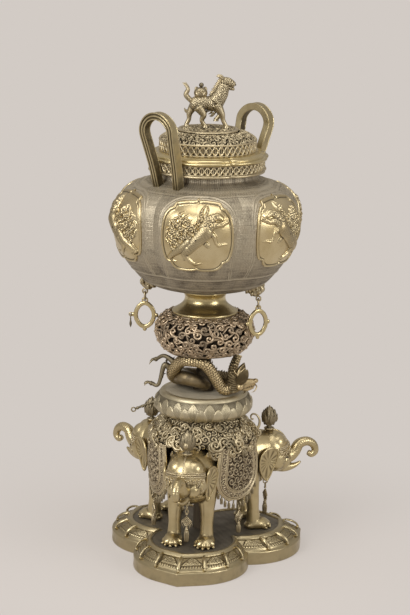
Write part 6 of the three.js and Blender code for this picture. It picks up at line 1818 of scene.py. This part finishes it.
@dataclass
class Lid:
    """Lift-off lid: lobed moulding, fretted band, pierced dome, cap disc and the beast on top."""

    columns: int = 1080
    length: float = 96.0
    height: float = 98.0
    back: float = 12.0
    turn: float = 12.0

    def lobed(self, r: Array, z: Array, share: float, cusp: float = 0.0) -> Array:
        """Return rings of a six-lobed outline at radii and heights."""
        az = turns(self.columns)
        swing = abs(Bowl.swing(az)) / (BOWL_LOBE / 2)
        pull = 1 - 0.09 * share * swing**2.2
        line = r[:, None] * pull[None, :] - cusp * smooth_step(0.9, 1.0, swing)[None, :]
        return polar(line, BOWL_TURN + az[None, :], z[:, None])

    def fret(self, r: float, low: float, high: float, share: float, pitch: float) -> Shape:
        """Return a band of crossed bars that stands on a lobed outline."""
        z = np.linspace(low, high, 44)
        base = self.lobed(np.full(44, r), z, share)
        around = 2 * math.pi * r
        count = round(around / pitch)
        u = turns(self.columns, around)[None, :] + 0 * z[:, None]
        bars = lattice(u, (z[:, None] - (low + high) / 2) + 0 * u, around / count, high - low)
        # Painted shade: the gaps between the bars are sunk and made nearly black to stand for the shade seen
        # through the fret's openings.
        return Shape().grid(base, 2.8 * bars - 2.0, 0.02 + 0.9 * smooth_step(0.05, 0.6, bars))

    def moulding(self, rows: Sequence[Point], share: float, wear_and_shade: float = 0.65, cusp: float = 0.0) -> Shape:
        """Return a smooth lobed moulding from pairs of radius and height."""
        line = spline(rows, 6 * len(rows))
        return Shape().grid(self.lobed(line[:, 0], line[:, 1], share, cusp), 0, wear_and_shade)

    def gallery(self) -> Shape:
        """Return the fretted gallery with its lower ring."""
        made = self.fret(111.5, 770.4, 786.6, 0.5, 11.4)
        ring = [(97, 764.4), (108, 764.6), (113.4, 765.2), (114.6, 767), (113.8, 769), (111, 770.4)]
        made.merge(self.moulding(ring, 0.5, 0.65, 1.6))
        return made.merge(self.moulding([(111.4, 786.2), (112.2, 786.8), (110, 787.2), (97, 787.2)], 0.5))

    def dome(self) -> Shape:
        """Return the pierced dome above the fretted band."""
        side = spline([(92.6, 822.2), (93.6, 823.4), (92.4, 825), (90.6, 826), (84, 830.6), (76, 834.8),
                       (66, 838), (60, 839.5)], 70)
        az = turns(self.columns)
        base = polar(side[:, :1], az[None, :], side[:, 1:2])
        u = rad(az)[None, :] * 82 + 0 * side[:, :1]
        step = np.linalg.norm(np.diff(side, axis=0), axis=1)
        v = np.concatenate([[0], np.cumsum(step)])[:, None] + 0 * u
        curls, depth = cloud_scrolls(u, v, 12.5, 2 * math.pi * 82, 5.4, 17)
        band = smooth_step(4.4, 5.6, v) * smooth_step(v.max() - 0.6, v.max() - 1.8, v)
        holes = smooth_step(2.6, 1.4, depth) * band * smooth_step(0.75, 0.5, curls)
        height = band * (2.4 * curls**0.8 - 0.8) - 4.5 * holes
        # Painted shade: the sunk holes are made dark to stand for the shade inside the dome's piercings.
        wear_and_shade = np.where(band > 0.5, 0.22 + 0.5 * curls - 0.5 * holes, 0.72)
        return Shape().grid(base, height, np.clip(wear_and_shade, 0, 1))

    def cap(self) -> Shape:
        """Return the cap disc with scrolls in relief on its top."""
        edge = [(40, 839.8), (57, 839.9), (59.2, 840.6), (59.6, 842), (58.4, 843.6), (56, 844.2), (53, 843.7)]
        made = self.moulding(edge, 0.5, 0.7)
        base = self.lobed(np.linspace(53, 1, 90), np.full(90, 843.5), 0.5)
        curls, depth = cloud_scrolls(base[..., 0] + 300, base[..., 1], 13.0, 600, 5.6, 29)
        inside = smooth_step(52, 49, np.hypot(base[..., 0], base[..., 1]))
        height = inside * (1.7 * curls - 0.7 - 1.8 * smooth_step(2.4, 1.2, depth))
        wear_and_shade = 0.62 - inside * (0.42 - 0.45 * curls)
        return made.grid(base, height, wear_and_shade)

    def beast(self) -> Shape:
        """Return the walking beast that is the lid's knob."""
        def at(a: float, aside: float, up: float) -> Triple:
            """Return a place in shares of the beast's length and height."""
            return (a * self.length, aside * self.height, LID_GROUND + up * self.height)

        core = Shape()
        core.ball(at(-0.14, 0, 0.47), (22, 13, 14.5), 28)
        core.ball(at(0.1, 0, 0.47), (19, 13.5, 16), 28)
        core.ball(at(-0.24, 0, 0.46), (13, 12.5, 13.5), 24)
        core.tube([at(0.14, 0, 0.5), at(0.24, 0, 0.66), at(0.3, 0, 0.84)], [16.5, 14, 10.5], 20, 14)
        core.tube([at(0.26, 0, 0.88), at(0.38, 0, 0.88), at(0.5, 0, 0.82)], [10, 8.4, 5.6], 18, 12)
        core.tube([at(0.33, 0, 0.8), at(0.42, 0, 0.76), at(0.5, 0, 0.74)], [6, 4, 2.6], 12, 8)
        legs = (((-0.26, 0.07, 0.45), (-0.37, 0.07, 0.27), (-0.385, 0.07, 0.14), (-0.44, 0.07, 0.03)),
                ((-0.2, -0.07, 0.4), (-0.1, -0.075, 0.25), (-0.13, -0.07, 0.14), (-0.07, -0.07, 0.03)),
                ((0.16, -0.07, 0.45), (0.26, -0.075, 0.27), (0.29, -0.07, 0.15), (0.35, -0.07, 0.03)),
                ((0.14, 0.07, 0.42), (0.24, 0.075, 0.3), (0.2, 0.07, 0.2), (0.14, 0.07, 0.14)))
        for rows in legs:
            core.tube([at(*row) for row in rows], [10.5, 7.4, 4.4, 4], 14, 22)
            core.ball(at(*rows[1]), 5.4, 12)
        made = core.fused(0.9, 3)
        points = made.co()
        curls, _ = cloud_scrolls(points[:, 0] + 300, points[:, 2] - 840, 7.5, 600, 3.4, 8)
        furry = smooth_step(0.36, 0.44, (points[:, 2] - LID_GROUND) / self.height)
        points[:, 1] += np.sign(points[:, 1]) * (curls - 0.5) * furry
        made.points = [points]
        made.worn(4, 1.1, 0.52)
        for rows in legs:
            hoof = Shape().lathe([(5.4, 0.2), (5.2, 1.4), (4.2, 4.6), (3.4, 6), (0.4, 6.4)], 18)
            made.merge(hoof.placed(move=np.add(at(*rows[-1]), (1, 0, -3.0))))
            knee = np.array(at(*rows[1]))
            for k in range(3):
                made.tube([knee + [-3, 0, 3 - 2 * k], knee + [-8, 0, 5 - 2 * k], knee + [-11, 0, 9 - 2 * k]],
                          [2.0, 1.3, 0.3], 7, 8, wear_and_shade=0.5)
        for side in (-1, 1):
            made.tube([at(0.27, side * 0.05, 0.93), at(0.2, side * 0.08, 0.98), at(0.14, side * 0.09, 0.99)],
                      [2.6, 1.8, 0.4], 8, 12, wear_and_shade=0.7)
            made.tube([at(0.3, side * 0.05, 0.92), at(0.25, side * 0.11, 0.96), at(0.22, side * 0.12, 1.0)],
                      [2.2, 2.2, 0.5], 8, 10, wear_and_shade=0.6)
            made.ball(at(0.38, side * 0.072, 0.9), 1.5, 10, 0.2)
            made.ball(at(0.52, side * 0.035, 0.83), 1.5, 8, 0.3)
        for k in range(12):
            t = k / 11
            spot = np.array(at(0.08 + 0.19 * t, 0, 0.62 + 0.3 * t))
            tuft = [spot + [1, 0, -1], spot + [-4, 0, 2 + 2 * t], spot + [-8, 0, 1 + 3 * (k % 2)]]
            made.tube(tuft, [3.4, 2.4, 0.4], 8, 10)
        made.tube([at(0.3, 0, 0.93), at(0.24, 0, 1.0), at(0.16, 0, 1.02)], [2.6, 2.0, 0.4], 8, 12, wear_and_shade=0.7)
        hump = np.array(at(-0.16, 0, 0.66))
        made.ball(hump, (13, 11, 11), 24, 0.5)
        made.ball(hump + [1, 0, 15], (4.6, 4.6, 4.6), 16, 0.35)
        for k in range(10):
            a = math.tau * k / 10
            c, s = math.cos(a), math.sin(a)
            spot = hump + [9 * c, 9 * s, 1 + 4 * math.sin(3 * a)]
            hand = 1 if k % 2 else -1
            curl = spiral(spot, (-s, c, 0), (0.3 * c, 0.3 * s, 0.95), 5.5, 1.3, 40 * k, hand, 1.5)
            made.tube(curl, [2.2, 2.0, 1.6], 8, 24, wear_and_shade=0.65)
        for shift in (-1, 0, 1):
            tail = [at(-0.34, 0.02 * shift, 0.5), at(-0.45, 0.03 * shift, 0.62),
                    at(-0.41, 0.04 * shift, 0.74), at(-0.49 + 0.03 * shift, 0.03 * shift, 0.86)]
            made.tube(tail, [4.6, 4.8, 3.4, 0.5], 10, 26)
        for k in range(12):
            t = k / 11
            spot = np.array(at(-0.02 + 0.24 * t, 0, 0.33 + 0.06 * math.sin(9 * t)))
            made.tube([spot, spot + [-3, 0, -5], spot + [-7, 0, -7]], [2.4, 1.7, 0.4], 7, 8, wear_and_shade=0.5)
        return made.placed(self.turn, polar(-self.back, self.turn, 0))

    def build(self) -> None:
        """Make the moulding, the fretted band, the dome, the cap disc and the beast."""
        rim = [(96, 787.8), (112, 787.9), (116.6, 788.8), (118.2, 791), (117.4, 793.2), (114.6, 794.4),
               (112.8, 795), (113.2, 796.2), (111.6, 798.4), (108.8, 799.6), (107.4, 800.2), (104, 802),
               (98, 803.2), (92, 803.6)]
        put("lid_moulding", self.moulding(rim, 0.5, 0.65, 2.2), POLISHED, "lid", ["lid_flange", "lid_spigot"])
        put("lid_fret", self.fret(92.2, 803.6, 822.4, 0.0, 11.6), CAST, "lid")
        put("lid_pierced_dome", self.dome(), CAST, "lid", ["lid_dome"])
        put("lid_cap", self.cap(), CAST, "lid", ["lid_cap_disc"])
        put("lid_beast", self.beast(), CAST, "lid", ["finial_beast"])


@dataclass(frozen=True)
class Lamp:
    """One soft lamp that looks at the middle of the burner."""

    name: str
    azimuth: float
    reach: float
    height: float
    size: float
    power: float

    def build(self, azimuth: float) -> None:
        """Make the lamp, turned with the camera's azimuth."""
        light = bpy.data.lights.new(self.name, "AREA")
        light.shape = "DISK"
        light.size = self.size
        light.energy = self.power
        made = bpy.data.objects.new(self.name, light)
        bpy.context.scene.collection.objects.link(made)
        spot = Vector(polar(self.reach, azimuth + self.azimuth, self.height))
        made.location = spot
        made.rotation_euler = (Vector((0, 0, 0.5)) - spot).to_track_quat("-Z", "Y").to_euler()


@dataclass
class Studio:
    """Floor, backdrop, lamps and camera."""

    azimuth: float = 12.0
    distance: float = 3.75
    height: float = 1.389
    pitch: float = 13.41
    roll: float = 1.03
    lens: float = 116.8
    floor_half: float = 9.0
    backdrop: Triple = (0.645, 0.597, 0.558)
    floor: Triple = (0.62, 0.575, 0.54)
    air: Triple = (0.64, 0.60, 0.56)
    lamps: tuple[Lamp, ...] = (
        Lamp("key_lamp", -40, 2.6, 1.9, 1.9, 58),
        Lamp("side_lamp", 56, 2.8, 1.4, 1.3, 26),
        Lamp("top_lamp", 10, 0.6, 3.0, 1.8, 20))

    def build(self) -> None:
        """Make the stage, the lamps, the world and the camera."""
        self.stage()
        for lamp in self.lamps:
            lamp.build(self.azimuth)
        self.world()
        self.camera()

    def world(self) -> None:
        """Make the light from all round, which the camera sees as the plain backdrop."""
        world = bpy.data.worlds.new("studio_air")
        graph = Graph(world)
        place = graph.add("TexCoord", "Generated")
        level = graph.remap(graph.add("SeparateXYZ", "Z", {"Vector": place}), (-0.1, 0.8, 0.5, 0.9))
        air = graph.feed(graph.nodes["Background"], {"Color": (*self.air, 1), "Strength": level})
        behind = graph.add("Background", "Background", {"Color": (*self.backdrop, 1)})
        seen = graph.add("LightPath", "Is Camera Ray")
        mix = graph.add("MixShader", "Shader", {"Fac": seen, 1: air.outputs["Background"], 2: behind})
        graph.feed(graph.nodes["World Output"], {"Surface": mix})
        bpy.context.scene.world = world

    def camera(self) -> None:
        """Make the camera that the photograph was fitted with."""
        lens = bpy.data.cameras.new("camera")
        lens.lens = self.lens
        lens.clip_end = 50
        camera = bpy.data.objects.new("camera", lens)
        bpy.context.scene.collection.objects.link(camera)
        spot = Vector(polar(self.distance, self.azimuth, self.height))
        forward = Vector(polar(-math.cos(rad(self.pitch)), self.azimuth, -math.sin(rad(self.pitch))))
        turn = forward.to_track_quat("-Z", "Y").to_matrix().to_4x4()
        camera.matrix_world = Matrix.Translation(spot) @ turn @ Matrix.Rotation(rad(self.roll), 4, "Z")
        bpy.context.scene.camera = camera

    def stage(self) -> None:
        """Make the pale floor, which fades into the backdrop's colour away from the burner."""
        x = np.linspace(-self.floor_half, self.floor_half, 37)
        base = np.stack([np.stack([x, np.full(37, y), 0 * x], axis=1) for y in x])
        mesh = Shape().grid(base / MM, wrap=False).mesh("floor")
        made = bpy.data.materials.new("pale_floor")
        graph = Graph(made)
        plain = {"Base Color": (*self.floor, 1), "Roughness": 0.9}
        shader = graph.feed(graph.nodes["Principled BSDF"], plain)
        glow = graph.add("Emission", "Emission", {"Color": (*self.backdrop, 1)})
        camera, glossy = (graph.add("LightPath", name) for name in ("Is Camera Ray", "Is Glossy Ray"))
        distance = graph.add("VectorMath", "Value", {0: graph.add("TexCoord", "Object")}, operation="LENGTH")
        far = graph.remap(distance, (0.2, 0.8, 0.55, 1.0), interpolation_type="SMOOTHSTEP")
        amount = graph.math("MULTIPLY", graph.math("MAXIMUM", camera, glossy), far)
        mix = graph.add("MixShader", "Shader", {"Fac": amount, 1: shader.outputs["BSDF"], 2: glow})
        graph.feed(graph.nodes["Material Output"], {"Surface": mix})
        mesh.materials.append(made)
        floor = bpy.data.objects.new("floor", mesh)
        bpy.context.scene.collection.objects.link(floor)


def dress_frame() -> None:
    """Give the frame's own nodes that stay in view a metal finish."""
    plain = {"iron_fastener": IRON, "polished_bronze": POLISHED, "cast_bronze": CAST,
             "patina_bronze": GROUND, "gilt_bronze": CLOUD}
    slots = {row["node"]: row["material_slot"] for row in frame["record"]["subparts"]}
    for name, node in frame["nodes"].items():
        finish = plain[slots[name]]
        for place in node.material_slots:
            place.material = finish.material()


def main() -> None:
    """Dress the burner, piece by piece, and set the studio."""
    logging.basicConfig(level=logging.INFO, format="%(name)s %(message)s")
    bpy.context.scene.view_settings.view_transform = "Standard"
    dress_frame()
    Studio().build()
    for assembly in (Base(), Elephants(), Cloths(), Lotus(), Dragon(), Globe(), Bowl(), Fittings(), Lid()):
        LOG.info("building %s", type(assembly).__name__)
        assembly.build()


if __name__ == "__main__":
    main()
